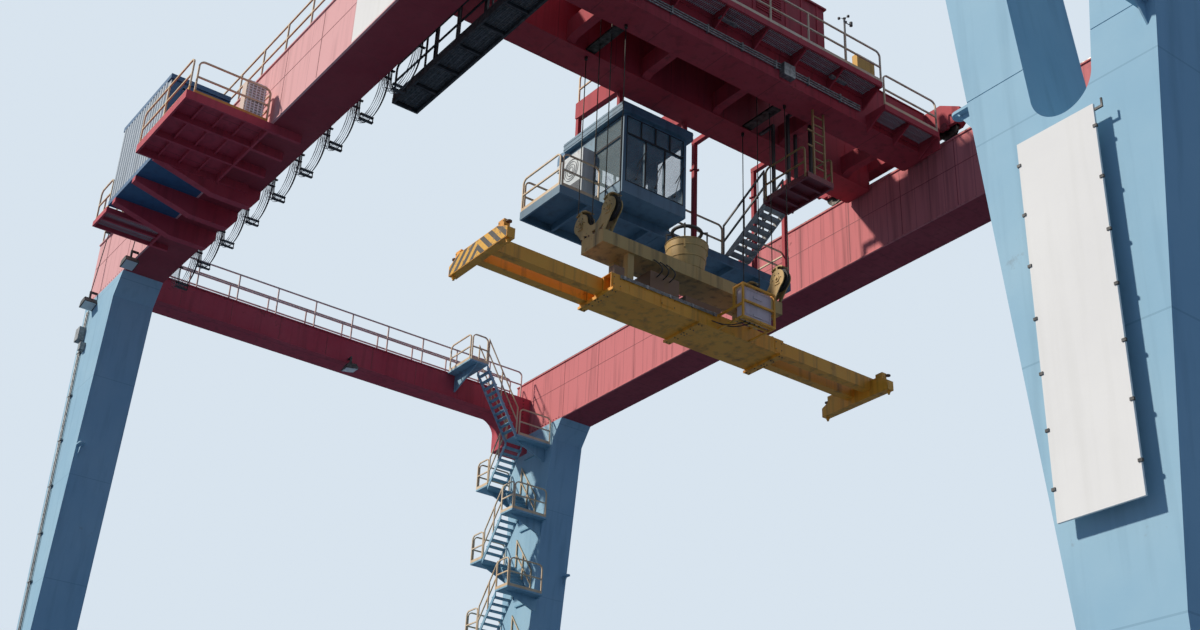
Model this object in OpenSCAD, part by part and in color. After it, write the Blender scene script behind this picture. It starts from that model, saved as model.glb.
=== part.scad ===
/* [Girders] */
// Length of each main girder
girder_len = 39900; // [30000:100:39900]
// Width of a main girder
girder_w = 1300; // [1000:10:1500]
// Height of a main girder
girder_h = 2300; // [1800:10:2600]
// Height of the girders' underside above the ground
girder_z = 25000; // [22000:50:26000]
// Clear gap between the two girders
girder_gap = 15380; // [14000:20:16500]
// Overhang of a girder's flange over its web
flange_lip = 40; // [20:5:60]
// Thickness of a girder's flange
flange_t = 40; // [20:5:60]
// Height of the trolley rail
rail_h = 120; // [90:5:150]
// Width of the trolley rail's foot
rail_foot = 130; // [110:5:160]
// Distance of the rail from the girder's inner edge
rail_in = 150; // [110:5:220]

/* [Near legs] */
// Width of a near leg at its top
near_top_w = 5230; // [4600:10:5600]
// Width of a near leg's foot
near_foot_w = 1250; // [1100:10:1400]
// Height at which a near leg starts to widen
near_knee_z = 6200; // [5000:50:8000]
// Distance of the foot's inner face from the girder's end
near_foot_in = 3130; // [2900:10:3300]
// Width of each arm beside the slot
arm_w = 870; // [750:10:950]
// Radius of the slot's round bottom
slot_r = 435; // [380:5:480]
// Height of the splice between the leg's two lengths
splice_z = 13100; // [12950:10:14500]

/* [Far legs] */
// Width of a far leg at the top of its taper
far_top_w = 2660; // [2200:10:2900]
// Width of a far leg's foot
far_foot_w = 1250; // [1100:10:1400]
// Height at which a far leg starts to widen
far_knee_z = 12700; // [9000:50:15000]
// Height of the flare under the girder
flare_h = 700; // [400:10:900]
// Reach of the flare
flare_w = 500; // [300:10:700]

/* [Ground beams] */
// Height of the sill beams' underside
sill_z = 1700; // [1600:10:2000]
// Height of a sill beam
sill_h = 1300; // [1000:10:1500]
// Overhang of a sill beam past the leg's centre
sill_over = 1150; // [900:10:1300]
// Tread diameter of a ground wheel
wheel_d = 710; // [630:10:760]
// Width of a ground wheel's tread
wheel_w = 110; // [90:5:130]
// Height of a wheel's flange
wheel_flange = 25; // [20:1:30]
// Distance between the two wheels of a bogie
bogie_base = 1200; // [1000:10:1300]
// Distance between the two bogies of a corner
bogie_pitch = 3400; // [3200:10:3600]
// Diameter of a wheel's axle
axle_d = 120; // [90:5:140]

/* [Tie beams] */
// Width of a tie beam
tie_w = 860; // [700:10:1000]
// Height of a tie beam
tie_h = 940; // [800:10:1100]
// Height of a tie beam's underside above the girders' underside
tie_up = 500; // [300:10:600]
// Distance from the girder's end to the tie beam's centre
tie_in = 550; // [550:10:900]
// Radius of the knee at the tie beam's rear end
knee_r = 600; // [400:10:700]
// Length of the knee's block along the tie beam
knee_l = 1040; // [800:10:1200]
// Drop of the knee's block under the girder
knee_drop = 740; // [500:10:800]

/* [Railings] */
// Height of the handrails
rail_top = 1050; // [950:10:1100]
// Thickness of the railing tubes
tube_t = 42; // [34:2:50]
// Distance between the posts
post_pitch = 1480; // [1200:10:1600]
// Height of the toe boards
toe_h = 100; // [80:5:150]

/* [Electrical house] */
// Length of the electrical house
ehouse_l = 3500; // [3000:10:3900]
// Width of the electrical house
ehouse_w = 1800; // [1500:10:1830]
// Height of the electrical house
ehouse_h = 2700; // [2400:10:2900]
// Distance from the far end to the house
ehouse_in = 6500; // [6300:10:7500]
// Length of the platform beside the house
deck_l = 3300; // [2900:10:3600]
// Width of the platform beside the house
deck_w = 2360; // [2200:10:2500]
// Width of the walkway on the house's far side
side_walk_w = 1100; // [800:10:1300]
// Depth of the platform's frame
deck_h = 250; // [200:10:300]

/* [Festoon] */
// Number of cable loops
loops = 9; // [6:1:9]
// Distance between the loops' carriers
loop_pitch = 1650; // [1600:10:1800]
// Drop of a loop below its carriers
loop_drop = 1900; // [1500:10:2000]

/* [Trolley] */
// Distance of the trolley's centre from the middle of the span
trolley_x = -400; // [-1000:50:1000]
// Distance between the centres of the trolley's cross beams
beam_gauge = 2300; // [2200:10:2400]
// Width of a cross beam
beam_w = 900; // [800:10:950]
// Height of a cross beam
beam_h = 1500; // [1300:10:1600]
// Height of a cross beam's underside above the girders' underside
beam_up = 2050; // [2000:10:2150]
// Length of an end carriage
carriage_l = 5800; // [5400:10:6200]
// Width of an end carriage
carriage_w = 400; // [360:10:440]
// Tread diameter of a trolley wheel
twheel_d = 630; // [560:10:660]
// Length of the machinery house
mhouse_l = 7200; // [6000:50:8000]
// Width of the machinery house
mhouse_w = 3150; // [3000:10:3200]
// Height of the machinery house
mhouse_h = 1800; // [1600:10:2400]

/* [Cab] */
// Length of the cab along the girders
cab_l = 2520; // [2300:10:2700]
// Width of the cab along the yard
cab_w = 2170; // [2000:10:2300]
// Height of the cab from floor to roof
cab_h = 2780; // [2600:10:2900]
// Depth of the cab's floor below the girders' underside
cab_drop = 1200; // [1100:10:1300]
// Thickness of the cab's walls
cab_wall = 60; // [40:5:80]
// Thickness of the window panes
glass_t = 12; // [8:1:16]
// Width of the cab's platform
platform_w = 1850; // [1600:10:2000]
// Depth of the cab platform's frame
platform_h = 250; // [180:10:300]

/* [Spreader] */
// Height of the spreader's underside above the ground
spreader_z = 19300; // [12000:50:20000]
// Length between the twistlocks
lock_l = 11985; // [11985:1:11985]
// Width between the twistlocks
lock_w = 2259; // [2250:1:2265]
// Length of the centre frame
frame_l = 5500; // [5300:10:5500]
// Width of a telescopic arm
tele_w = 260; // [220:5:280]
// Height of a telescopic arm
tele_h = 360; // [320:5:380]
// Wall of the tubes that hold the arms
tube_wall = 20; // [16:1:24]
// Gap round an arm in its tube
tube_gap = 8; // [6:1:12]
// Distance between the headblock's sheave housings
block_l = 5500; // [5300:10:5600]
// Radius of a rope sheave
sheave_r = 320; // [280:5:340]
// Distance between the two sheaves of a housing
sheave_gap = 1120; // [1000:10:1200]
// Diameter of a hoist rope
rope_d = 28; // [24:1:36]

/* [Hidden] */
$fn = 48;
end_x = girder_len / 2;
girder_y = girder_gap / 2 + girder_w / 2;
girder_top = girder_z + girder_h;
rail_y = girder_gap / 2 + rail_in;
rail_z = girder_top + rail_h;
foot_z = sill_z + sill_h;
cab_z = girder_z - cab_drop;
near_foot_x = end_x - near_foot_in;
near_x = near_foot_x + near_foot_w / 2;
far_x = -end_x + far_foot_w / 2;
sides = [-1, 1];
ends_x = [near_x, far_x];
seat = 0.3;
paint_red = "firebrick";
paint_blue = "lightsteelblue";
paint_yellow = "goldenrod";

// A profile drawn in x and z, extruded along y about y = 0
module along_y(w) { rotate([90, 0, 0]) linear_extrude(w, center = true) children(); }
// A profile drawn in y and z, extruded along x about x = 0
module along_x(l) { rotate([90, 0, 90]) linear_extrude(l, center = true) children(); }
// A box from its low corner to its high corner
module block(a, b) { translate(a) cube(b - a); }
module each_side() { for (s = sides) scale([1, s, 1]) children(); }

rail_corner = 180;
// Outline of a railing of length l, drawn in by i on its top and ends
module railing_outline(l, i, foot) {
    r = rail_corner - i;
    translate([i, foot]) square([l - 2 * i, rail_top - rail_corner - foot]);
    translate([rail_corner, foot]) square([l - 2 * rail_corner, rail_top - i - foot]);
    for (x = [rail_corner, l - rail_corner]) translate([x, rail_top - rail_corner]) circle(r);
}

// A flat railing along x with a middle rail, round upper corners and, if toe > 0, a toe board
module railing(l, toe = 0) {
    bays = max(1, round(l / post_pitch));
    along_y(tube_t) difference() {
        railing_outline(l, 0, 0);
        intersection() {
            railing_outline(l, tube_t, -1);
            for (i = [0 : bays - 1], j = [0, 1]) {
                x0 = i * l / bays + (i == 0 ? 0 : tube_t / 2);
                x1 = (i + 1) * l / bays - (i == bays - 1 ? 0 : tube_t / 2);
                z0 = j == 0 ? (toe > 0 ? toe : -1) : rail_top / 2 + tube_t / 2;
                z1 = j == 0 ? rail_top / 2 - tube_t / 2 : rail_top;
                translate([x0, z0]) square([x1 - x0, z1 - z0]);
            }
        }
    }
}

// A handrail with a middle rail along a flight that rises from the origin. Its middle post stands at mid,
// just past a tread's front edge, so that it misses the next tread.
module stair_rail(run, rise, mid) {
    slope = rise / run;
    along_y(tube_t) {
        for (z = [rail_top / 2, rail_top])
            polygon([[0, z], [run, rise + z], [run, rise + z - 1.4 * tube_t], [0, z - 1.4 * tube_t]]);
        for (x = [0, mid - tube_t, run - tube_t])
            polygon([[x, slope * (x + tube_t) + seat], [x + tube_t, slope * (x + tube_t) + seat],
                [x + tube_t, slope * (x + tube_t) + rail_top - tube_t],
                [x, slope * x + rail_top - tube_t]]);
    }
}

module girder(s) {
    color(paint_red) translate([0, s * girder_y, girder_z]) along_x(girder_len) {
        translate([-girder_w / 2 + flange_lip, 0]) square([girder_w - 2 * flange_lip, girder_h]);
        translate([-girder_w / 2, 0]) square([girder_w, flange_t]);
        translate([-girder_w / 2, girder_h - flange_t]) square([girder_w, flange_t]);
    }
}

module trolley_rails() {
    head = rail_foot * 0.55;
    color("dimgray") each_side() translate([0, rail_y, girder_top]) along_x(girder_len - 600) {
        translate([-rail_foot / 2, 0]) square([rail_foot, rail_h * 0.2]);
        translate([-rail_foot * 0.14, 0]) square([rail_foot * 0.28, rail_h]);
        translate([-head / 2, rail_h * 0.7]) square([head, rail_h * 0.3]);
    }
}

// The inner and outer edges of a near leg, as x at height z
function near_in_x(z) = near_foot_x - max(0, z - near_knee_z) * near_in_slope;
function near_out_x(z) = near_foot_x + near_foot_w + max(0, z - near_knee_z) * near_out_slope;
near_out_slope = (near_foot_in - near_foot_w) / (girder_z - near_knee_z);
near_in_slope = (near_top_w - near_foot_in) / (girder_z - near_knee_z);
slot_side = slot_r * sqrt(1 + near_in_slope * near_in_slope);
slot_rise = slot_r * (sqrt(1 + near_in_slope * near_in_slope) + sqrt(1 + near_out_slope * near_out_slope));
slot_z = near_knee_z + (slot_rise + 2 * arm_w - near_foot_w) / (near_in_slope + near_out_slope);

lug_l = 200;
// A lifting lug that reaches out along -x, with its gusset
module lifting_lug() {
    difference() {
        union() {
            block([-lug_l, -100, -20], [60, 100, 20]);
            translate([-lug_l, 0, -20]) cylinder(r = 100, h = 40);
        }
        for (y = [-45, 45]) translate([-lug_l, y, -30]) cylinder(d = 55, h = 60);
    }
    along_y(20) polygon([[60, -20], [-lug_l, -20], [60, -420]]);
}

module near_leg(s) {
    face = girder_w / 2;
    color(paint_blue) translate([0, s * girder_y, 0]) {
        difference() {
            along_y(girder_w) difference() {
                polygon([[near_foot_x, foot_z], [near_foot_x + near_foot_w, foot_z],
                    [near_foot_x + near_foot_w, near_knee_z], [end_x, girder_z],
                    [end_x - near_top_w, girder_z], [near_foot_x, near_knee_z]]);
                polygon([[near_in_x(slot_z) + arm_w, slot_z], [near_out_x(slot_z) - arm_w, slot_z],
                    [near_out_x(girder_z) - arm_w, girder_z + 1],
                    [near_in_x(girder_z) + arm_w, girder_z + 1]]);
                translate([near_in_x(slot_z) + arm_w + slot_side, slot_z]) circle(slot_r);
            }
            // groove of the splice between the two lengths
            for (t = sides) block([near_foot_x - 2000, t * face - 8, splice_z - 8],
                [end_x, t * face + 8, splice_z + 8]);
        }
        translate([near_in_x(splice_z), s * (face - 100), splice_z - 40]) lifting_lug();
        translate([near_out_x(splice_z) - 150, s * face, splice_z - 40]) rotate(-s * 90) lifting_lug();
    }
}

far_lug_z = 19500;
module far_leg(s) {
    slope = (far_top_w - far_foot_w) / (girder_z - flare_h - far_knee_z);
    color(paint_blue) translate([-end_x, s * girder_y, 0]) {
        along_y(girder_w)
            polygon([[0, foot_z], [far_foot_w, foot_z], [far_foot_w, far_knee_z],
                [far_top_w, girder_z - flare_h], [far_top_w + flare_w, girder_z], [0, girder_z]]);
        translate([far_foot_w + (far_lug_z - far_knee_z) * slope, s * (girder_w / 2 - 100), far_lug_z])
            rotate(180) lifting_lug();
    }
}

// A box beam between the girders' webs, with a knee that curves down at its rear end
module tie_beam(x) {
    y1 = girder_gap / 2;
    web = y1 + flange_lip;
    z0 = tie_up;
    z1 = tie_up + tie_h;
    color(paint_red) translate([x, 0, girder_z]) {
        along_x(tie_w) {
            difference() {
                polygon([[-web, z0], [y1 - knee_l - knee_r, z0], [y1 - knee_l - knee_r, z0 - knee_r],
                    [y1 - knee_l, z0 - knee_r], [y1 - knee_l, -knee_drop], [y1, -knee_drop], [y1, flange_t],
                    [web, flange_t], [web, z1], [-web, z1]]);
                translate([y1 - knee_l - knee_r, z0 - knee_r]) circle(knee_r);
            }
        }
        for (z = [z0, z1 - flange_t]) translate([0, 0, z])
            block([-tie_w / 2 - 30, -y1, 0], [tie_w / 2 + 30, y1 - knee_l, flange_t]);
    }
}

module sill_beams() {
    l = 2 * girder_y + 2 * sill_over;
    w = near_foot_w;
    color(paint_blue) for (x = ends_x) translate([x, 0, sill_z]) along_x(w)
        polygon([[-l / 2 + 400, 0], [l / 2 - 400, 0], [l / 2, 300], [l / 2, sill_h],
            [-l / 2, sill_h], [-l / 2, 300]]);
}

axle_z = wheel_d / 2 + wheel_flange;
bogie_l = bogie_base + wheel_d + 240;
buffer_y = 12400;
// One bogie about its centre: two side plates, a top box and two axles
module bogie() {
    side = wheel_w / 2 + wheel_flange + 30;
    top = axle_z + wheel_d / 2 + 60;
    for (s = sides) translate([s * (side + 20), 0, 0]) along_x(40)
        polygon([[-bogie_l / 2, axle_z - 110], [bogie_l / 2, axle_z - 110], [bogie_l / 2, top - 120],
            [bogie_l / 2 - 350, top], [-bogie_l / 2 + 350, top], [-bogie_l / 2, top - 120]]);
    block([-side - 20, -bogie_base / 2, top - 25], [side + 20, bogie_base / 2, top + 60]);
    for (s = sides) translate([0, s * (bogie_l / 2 - 20), 0])
        block([-side, -20, axle_z - 110], [side, 20, top - 120]);
    for (s = sides) translate([0, s * bogie_base / 2, axle_z]) rotate([0, 90, 0])
        cylinder(d = axle_d, h = 2 * side + 120, center = true);
}

module bogies() {
    top = axle_z + wheel_d / 2 + 120;
    half = bogie_pitch / 2;
    color(paint_blue) for (x = ends_x, s = sides) translate([x, s * girder_y, 0]) {
        for (t = sides) translate([0, t * half, 0]) bogie();
        along_x(520) polygon([[-half - 300, top], [half + 300, top], [half + 300, top + 180],
            [700, sill_z], [-700, sill_z], [-half - 300, top + 180]]);
        y0 = half + bogie_l / 2 - 20;
        y1 = buffer_y - girder_y;
        translate([0, s * (y0 + y1) / 2, axle_z + 150]) rotate([90, 0, 0])
            cylinder(d = 180, h = y1 - y0, center = true);
    }
}

// A flanged wheel on an axle along x
module wheel(d, w, flange, bore) {
    rotate([0, 90, 0]) rotate_extrude() polygon([[bore / 2, -w / 2 - flange],
        [d / 2 + flange, -w / 2 - flange], [d / 2 + flange, -w / 2], [d / 2, -w / 2],
        [d / 2, w / 2], [d / 2 + flange, w / 2],
        [d / 2 + flange, w / 2 + flange], [bore / 2, w / 2 + flange]]);
}

module ground_wheels() {
    color("dimgray") for (x = ends_x, s = sides, t = sides, u = sides)
        translate([x, s * girder_y + t * bogie_pitch / 2 + u * bogie_base / 2, axle_z])
            wheel(wheel_d, wheel_w, wheel_flange, axle_d + 2 * seat);
}

module girder_railings() {
    color("sandybrown") each_side() translate([-end_x + 40, girder_y + girder_w / 2 - 80, girder_top])
        railing(girder_len - 80);
}

module tie_railings() {
    l = girder_gap - 800;
    color("rosybrown") for (x = [end_x - tie_in, -end_x + tie_in], s = sides)
        translate([x + s * (tie_w / 2 - tube_t), -l / 2, girder_z + tie_up + tie_h]) rotate(90)
            railing(l);
}

ehouse_x = -end_x + ehouse_in;
house_y = -girder_y - girder_w / 2;
rib_pitch = 200;
rib_d = 40;
trim_h = 150;
deck_x = ehouse_x + ehouse_l + 50;
// The house with a ribbed front wall, and a cabinet on the platform beside it
module electrical_house() {
    ribs = floor((ehouse_l - 160) / rib_pitch);
    color("steelblue") translate([ehouse_x, house_y - ehouse_w, girder_z]) {
        translate([0, 0, trim_h]) linear_extrude(ehouse_h - 2 * trim_h) polygon(concat(
            [[ehouse_l - 40, ehouse_w - seat], [40, ehouse_w - seat], [40, rib_d]],
            [for (i = [0 : ribs - 1]) each [for (p = [[20, rib_d], [55, 0], [145, 0], [180, rib_d]])
                [80 + i * rib_pitch + p[0], p[1]]]],
            [[ehouse_l - 40, rib_d]]));
        for (z = [0, ehouse_h - trim_h]) translate([0, 0, z])
            block([0, 0, 0], [ehouse_l, ehouse_w - seat, trim_h]);
    }
    color("gainsboro") translate([deck_x + deck_l - 420, house_y - 780, girder_z])
        block([0, 0, 0], [300, 550, 1130]);
}

bracket_pitch = 1475;
// A platform frame of edge channels, cross beams and stringers with a grating on top
module platform_frame(a, b, bars, bar_x = true) {
    difference() {
        block(a, b);
        block([a[0] + 60, a[1] + 60, a[2] - 1], [b[0] - 60, b[1] - 60, b[2] - 30]);
    }
    for (i = [1 : bars]) {
        u = i / (bars + 1);
        if (bar_x) translate([a[0] + u * (b[0] - a[0]), 0, 0])
            block([-40, a[1] + 30, a[2] + 20], [40, b[1] - 30, b[2] - 10]);
        else translate([0, a[1] + u * (b[1] - a[1]), 0])
            block([a[0] + 30, -40, a[2] + 20], [b[0] - 30, 40, b[2] - 10]);
    }
}

module house_deck() {
    low = girder_z - deck_h;
    color(paint_red) {
        platform_frame([deck_x, house_y - deck_w, low], [deck_x + deck_l, house_y, girder_z], 2);
        for (y = [-1760, -1180, -600]) translate([0, house_y + y, 0])
            block([deck_x + 30, -25, girder_z - 120], [deck_x + deck_l - 30, 25, girder_z - 10]);
        // cantilevers that run under the girder
        for (i = [0 : 3]) translate([deck_x + i * (deck_l - 100) / 3, 0, low])
            block([0, house_y - seat, 0], [100, house_y + 900, deck_h]);
        // tapered brackets under the house
        for (i = [0 : 2]) translate([ehouse_x + 500 + i * bracket_pitch, 0, 0]) along_x(240)
            polygon([[house_y - ehouse_w, girder_z], [house_y - ehouse_w, girder_z - 150],
                [house_y - 200, girder_z - 560], [house_y - 100, girder_z - 600],
                [house_y + 1000, girder_z - 600], [house_y + 1100, girder_z - 560],
                [house_y + girder_w, girder_z - 250], [house_y + girder_w, girder_z]]);
        // walkway on the far side of the house
        platform_frame([ehouse_x - side_walk_w - 50, house_y - ehouse_w, girder_z - 160],
            [ehouse_x - 50, house_y, girder_z], 1);
        for (x = [0, side_walk_w - 100]) translate([ehouse_x - side_walk_w - 50 + x, 0, girder_z - 160])
            block([0, house_y - seat, 0], [100, house_y + 500, 160]);
    }
}

module house_railings() {
    y0 = house_y - deck_w;
    color(paint_yellow) {
        translate([deck_x, y0 + 60, girder_z]) railing(deck_l, toe_h);
        translate([deck_x + deck_l - 60, y0 + 200, girder_z]) rotate(90) railing(deck_w - 300, toe_h);
        translate([deck_x + 1500, house_y - 60, girder_z]) railing(deck_l - 1700);
        translate([ehouse_x - side_walk_w, house_y - ehouse_w + 60, girder_z])
            railing(side_walk_w - 100, toe_h);
        translate([ehouse_x - side_walk_w, house_y - ehouse_w + 200, girder_z]) rotate(90)
            railing(ehouse_w - 300, toe_h);
    }
}

festoon_y = -girder_gap / 2 + 240;
festoon_z = girder_z + 1300;
festoon_x = -end_x + 3400;
module festoon_rail() {
    l = loops * loop_pitch + 600;
    color("dimgray") {
        translate([festoon_x - 300 + l / 2, festoon_y, festoon_z]) along_x(l) {
            translate([-50, 0]) square([100, 15]);
            translate([-5, 0]) square([10, 140]);
            translate([-50, 125]) square([100, 15]);
        }
        for (i = [0 : loops]) translate([festoon_x + i * loop_pitch, 0, festoon_z])
            block([-40, -girder_gap / 2 - flange_lip, 140], [40, festoon_y + 50, 200]);
    }
}

// A loop of flat cable between two carriers, with a clamp at the bottom and a spreader bar
module festoon_cables() {
    color("black") for (i = [0 : loops - 1]) translate([festoon_x + i * loop_pitch, festoon_y, festoon_z]) {
        along_y(120) difference() {
            loop_outline(0);
            loop_outline(40);
        }
        translate([loop_pitch / 2, 0, -loop_drop]) block([-60, -90, -20], [60, 90, 60]);
        for (x = [60, loop_pitch - 100]) translate([x, 0, -900]) block([-15, -110, -30], [55, 110, 30]);
    }
}
module loop_outline(inset) {
    r = loop_pitch / 2 - 60 - inset;
    translate([loop_pitch / 2, -loop_drop + loop_pitch / 2 - 60]) circle(r);
    translate([loop_pitch / 2 - r, -loop_drop + loop_pitch / 2 - 60])
        square([2 * r, loop_drop - loop_pitch / 2 + 60 + (inset > 0 ? 1 : 0)]);
}

stair_x = -end_x;
stair_y = girder_gap / 2;
lane_w = 740;
landing_l = 750;
flight_run = 1050;
flights = 15;
stair_drop = 895;
flight_rise = round((girder_z - stair_drop - foot_z) / flights);
steps = 7;
landing_t = 60;
// Height and place of landing number i, counted from the sill beam
function landing_z(i) = foot_z + i * flight_rise;
function landing_x(i) = stair_x + (i % 2 == 0 ? 0 : landing_l + flight_run);
module flight(i) {
    up = i % 2 == 0 ? 1 : -1;
    x0 = stair_x + landing_l + (up > 0 ? 0 : flight_run);
    y0 = stair_y - lane_w * (up > 0 ? 2 : 1);
    translate([x0, y0, landing_z(i)]) scale([up, 1, 1]) {
        for (y = [20, lane_w - 50]) translate([0, y + 15, 0]) along_y(30)
            polygon([[seat, 0], i == 0 ? [200 * flight_run / flight_rise, 0] : [seat, -200],
                [flight_run - seat, flight_rise - 200], [flight_run - seat, flight_rise]]);
        for (k = [1 : steps - 1])
            translate([(k - 0.5) * flight_run / steps, 20, k * flight_rise / steps - 30])
                cube([flight_run / steps + 60, lane_w - 40, 30]);
    }
}

upper_x = stair_x + landing_l + flight_run + 20;
upper_w = 700;
upper_run = 1440;
upper_top = tie_up + tie_h;
top_z = foot_z + flights * flight_rise;
// The steep flight from the top landing up to the tie beam, and its landing
module upper_flight() {
    rise = girder_z + upper_top - top_z;
    y0 = stair_y - 2 * lane_w;
    translate([upper_x, y0, top_z]) {
        for (x = [0, upper_w - 30]) translate([x + 15, -seat, 0]) along_x(30)
            polygon([[0, 0], [0, -200], [-upper_run, rise - 200], [-upper_run, rise]]);
        for (k = [1 : 10]) translate([15, -(k + 0.5) * upper_run / 11, k * rise / 11 - 30])
            cube([upper_w - 30, 140, 30]);
    }
    x1 = -end_x + tie_in + tie_w / 2 + 30;
    y1 = y0 - upper_run - 2 * seat;
    block([x1, y1 - 750, girder_z + upper_top - landing_t], [upper_x + upper_w, y1, girder_z + upper_top]);
    translate([0, y1 - 400, 0]) along_y(60) polygon([[x1 - 30, girder_z + upper_top - landing_t],
        [upper_x + upper_w, girder_z + upper_top - landing_t], [x1 - 30, girder_z + upper_top - 700]]);
}

module leg_stairs() {
    color("lightsteelblue") {
        for (i = [1 : flights]) translate([landing_x(i), stair_y - 2 * lane_w, landing_z(i) - landing_t]) {
            cube([landing_l, 2 * lane_w, landing_t]);
            translate([landing_l / 2, 2 * lane_w - 700, 0]) along_x(60)
                polygon([[-600, 0], [700, 0], [700, -500], [600, -500]]);
            if (i % 2 == 1) translate([-(landing_l + flight_run) / 2, 2 * lane_w - 60, -60])
                cube([landing_l * 2, 60, 60]);
        }
        for (i = [0 : flights - 1]) flight(i);
        upper_flight();
    }
}

module stair_railings() {
    y0 = stair_y - 2 * lane_w;
    color(paint_yellow) {
        for (i = [1 : flights - 1]) {
            translate([landing_x(i), y0 + tube_t / 2, landing_z(i)]) railing(landing_l, toe_h);
            translate([landing_x(i) + (i % 2 == 0 ? 1 : 2 * landing_l / tube_t - 1) * tube_t / 2, y0 + 60,
                landing_z(i)]) rotate(90) railing(2 * lane_w - 100, toe_h);
        }
        for (i = [0 : flights - 1]) {
            up = i % 2 == 0 ? 1 : -1;
            translate([stair_x + landing_l + (up > 0 ? 0 : flight_run), y0 + (up > 0 ? 35 : 2 * lane_w - 35),
                landing_z(i)]) scale([up, 1, 1])
                stair_rail(flight_run, flight_rise, 4 * flight_run / steps + 10);
        }
        translate([landing_x(flights) + landing_l - tube_t / 2, y0 + 60, top_z]) rotate(90)
            railing(2 * lane_w - 100, toe_h);
        for (x = [15, upper_w - 15]) translate([upper_x + x, y0 - seat, top_z]) rotate(-90)
            stair_rail(upper_run, girder_z + upper_top - top_z, 6 * upper_run / 11 + 8);
        y1 = y0 - upper_run - 2 * seat;
        translate([upper_x + upper_w - tube_t / 2, y1 - 700, girder_z + upper_top]) rotate(90)
            railing(680, toe_h);
        translate([-end_x + tie_in + tie_w / 2 + 80, y1 - 725, girder_z + upper_top])
            railing(1400, toe_h);
    }
}

board_w = 1060;
board_z = 7350;
board_h = 4620;
module leg_board() {
    x = near_foot_x + 40;
    color("white") translate([0, -girder_y - girder_w / 2, 0]) {
        block([x, -190, board_z], [x + board_w, -160, board_z + board_h]);
        for (z = [600 : 1100 : board_h - 400], u = [150, board_w - 210])
            block([x + u, -160, board_z + z], [x + u + 60, 0, board_z + z + 60]);
    }
}

// A floodlight on an arm that reaches out from a wall at y = 0
module floodlight() {
    block([-30, -240, 20], [30, 0, 80]);
    block([-30, -240, -300], [30, -180, 80]);
    translate([0, -210, -470]) along_y(420) polygon([[-240, 0], [240, 80], [150, 220], [-150, 190]]);
}

module floodlights() {
    color("dimgray") {
        for (x = [-end_x + 950, -end_x + 4350, 2500, end_x - 9450])
            translate([x, -girder_y - girder_w / 2, girder_z]) floodlight();
        for (s = sides) translate([s * (end_x - tie_in - tie_w / 2), 0, girder_z + tie_up + 100])
            rotate(s > 0 ? -90 : 90) floodlight();
    }
}

beam_z = girder_z + beam_up;
beam_top = beam_z + beam_h;
carriage_z = rail_z + 300;
carriage_in = rail_y - carriage_w / 2;
module on_trolley() { translate([trolley_x, 0, 0]) children(); }

// Two cross beams and the haunched members between them
module trolley_beams() {
    inner = beam_gauge / 2 - beam_w / 2 - seat;
    z0 = beam_z + 150;
    color(paint_red) on_trolley() {
        for (s = sides) translate([s * beam_gauge / 2, 0, 0])
            block([-beam_w / 2, -carriage_in, beam_z], [beam_w / 2, carriage_in, beam_top]);
        for (y = [-5900 : 2500 : 6600]) translate([0, y, 0]) along_y(260)
            polygon([[-inner, z0 - 100], [-inner + 200, z0], [inner - 200, z0], [inner, z0 - 100],
                [inner, z0 + 550], [-inner, z0 + 550]]);
    }
}

twheel_z = rail_z + twheel_d / 2 + seat;
twheel_x = carriage_l / 2 - 600;
module end_carriages() {
    w = carriage_w / 2;
    l = carriage_l / 2;
    color(paint_red) on_trolley() each_side() translate([0, rail_y, 0]) {
        difference() {
            along_y(2 * w) polygon([[-l, carriage_z + 200], [-l + 250, carriage_z], [l - 250, carriage_z],
                [l, carriage_z + 200], [l, beam_top - 400], [l - 700, beam_top], [-l + 700, beam_top],
                [-l, beam_top - 400]]);
            for (s = sides) translate([s * twheel_x, 0, 0])
                block([-twheel_d / 2 - 60, -90, carriage_z - 1],
                    [twheel_d / 2 + 60, 90, twheel_z + twheel_d / 2 + 60]);
        }
        for (s = sides) translate([s * twheel_x, 0, 0]) {
            for (t = sides) translate([0, t * (w - 25), 0])
                block([-150, -25, twheel_z - 100], [150, 25, carriage_z]);
            translate([0, 0, twheel_z]) rotate([90, 0, 0]) cylinder(d = 100, h = 2 * w, center = true);
        }
        for (s = sides) translate([s * (l + 75), 0, carriage_z + 330]) rotate([0, 90, 0])
            cylinder(d = 170, h = 150, center = true);
    }
}

module trolley_wheels() {
    color("dimgray") on_trolley() each_side() for (s = sides)
        translate([s * twheel_x, rail_y, twheel_z]) rotate(90) wheel(twheel_d, 90, 15, 100 + 2 * seat);
}

mast_x = 1300;
mast_y = 4800;
// The house over the hoist, with the mast and the panel that stand behind it
module machinery_house() {
    color(paint_red) on_trolley() translate([-mhouse_w / 2 + 75, 0, beam_top]) {
        block([0, -mhouse_l / 2, 0], [mhouse_w, mhouse_l / 2, mhouse_h - 60]);
        block([-60, -mhouse_l / 2 - 60, mhouse_h - 60], [mhouse_w + 60, mhouse_l / 2 + 60, mhouse_h]);
    }
    color("dimgray") on_trolley() translate([mast_x, mast_y, beam_top]) {
        cylinder(d = 60, h = 2300);
        translate([0, 0, 2150]) block([-10, -10, 0], [10, 300, 20]);
    }
    color(paint_yellow) on_trolley() translate([mast_x, mast_y + 400, beam_top]) {
        for (y = [0, 560]) block([-20, y, 0], [20, y + 40, 400]);
        block([-100, -50, 400], [100, 650, 1150]);
    }
}

walk_x = beam_gauge / 2 + beam_w / 2;
walk_w = 750;
walk_z = beam_z + 1050;
low_z = beam_z + 350;
low_y1 = rail_y - 540;
walk_y0 = -6000;
walk_y1 = 5100;
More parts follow.
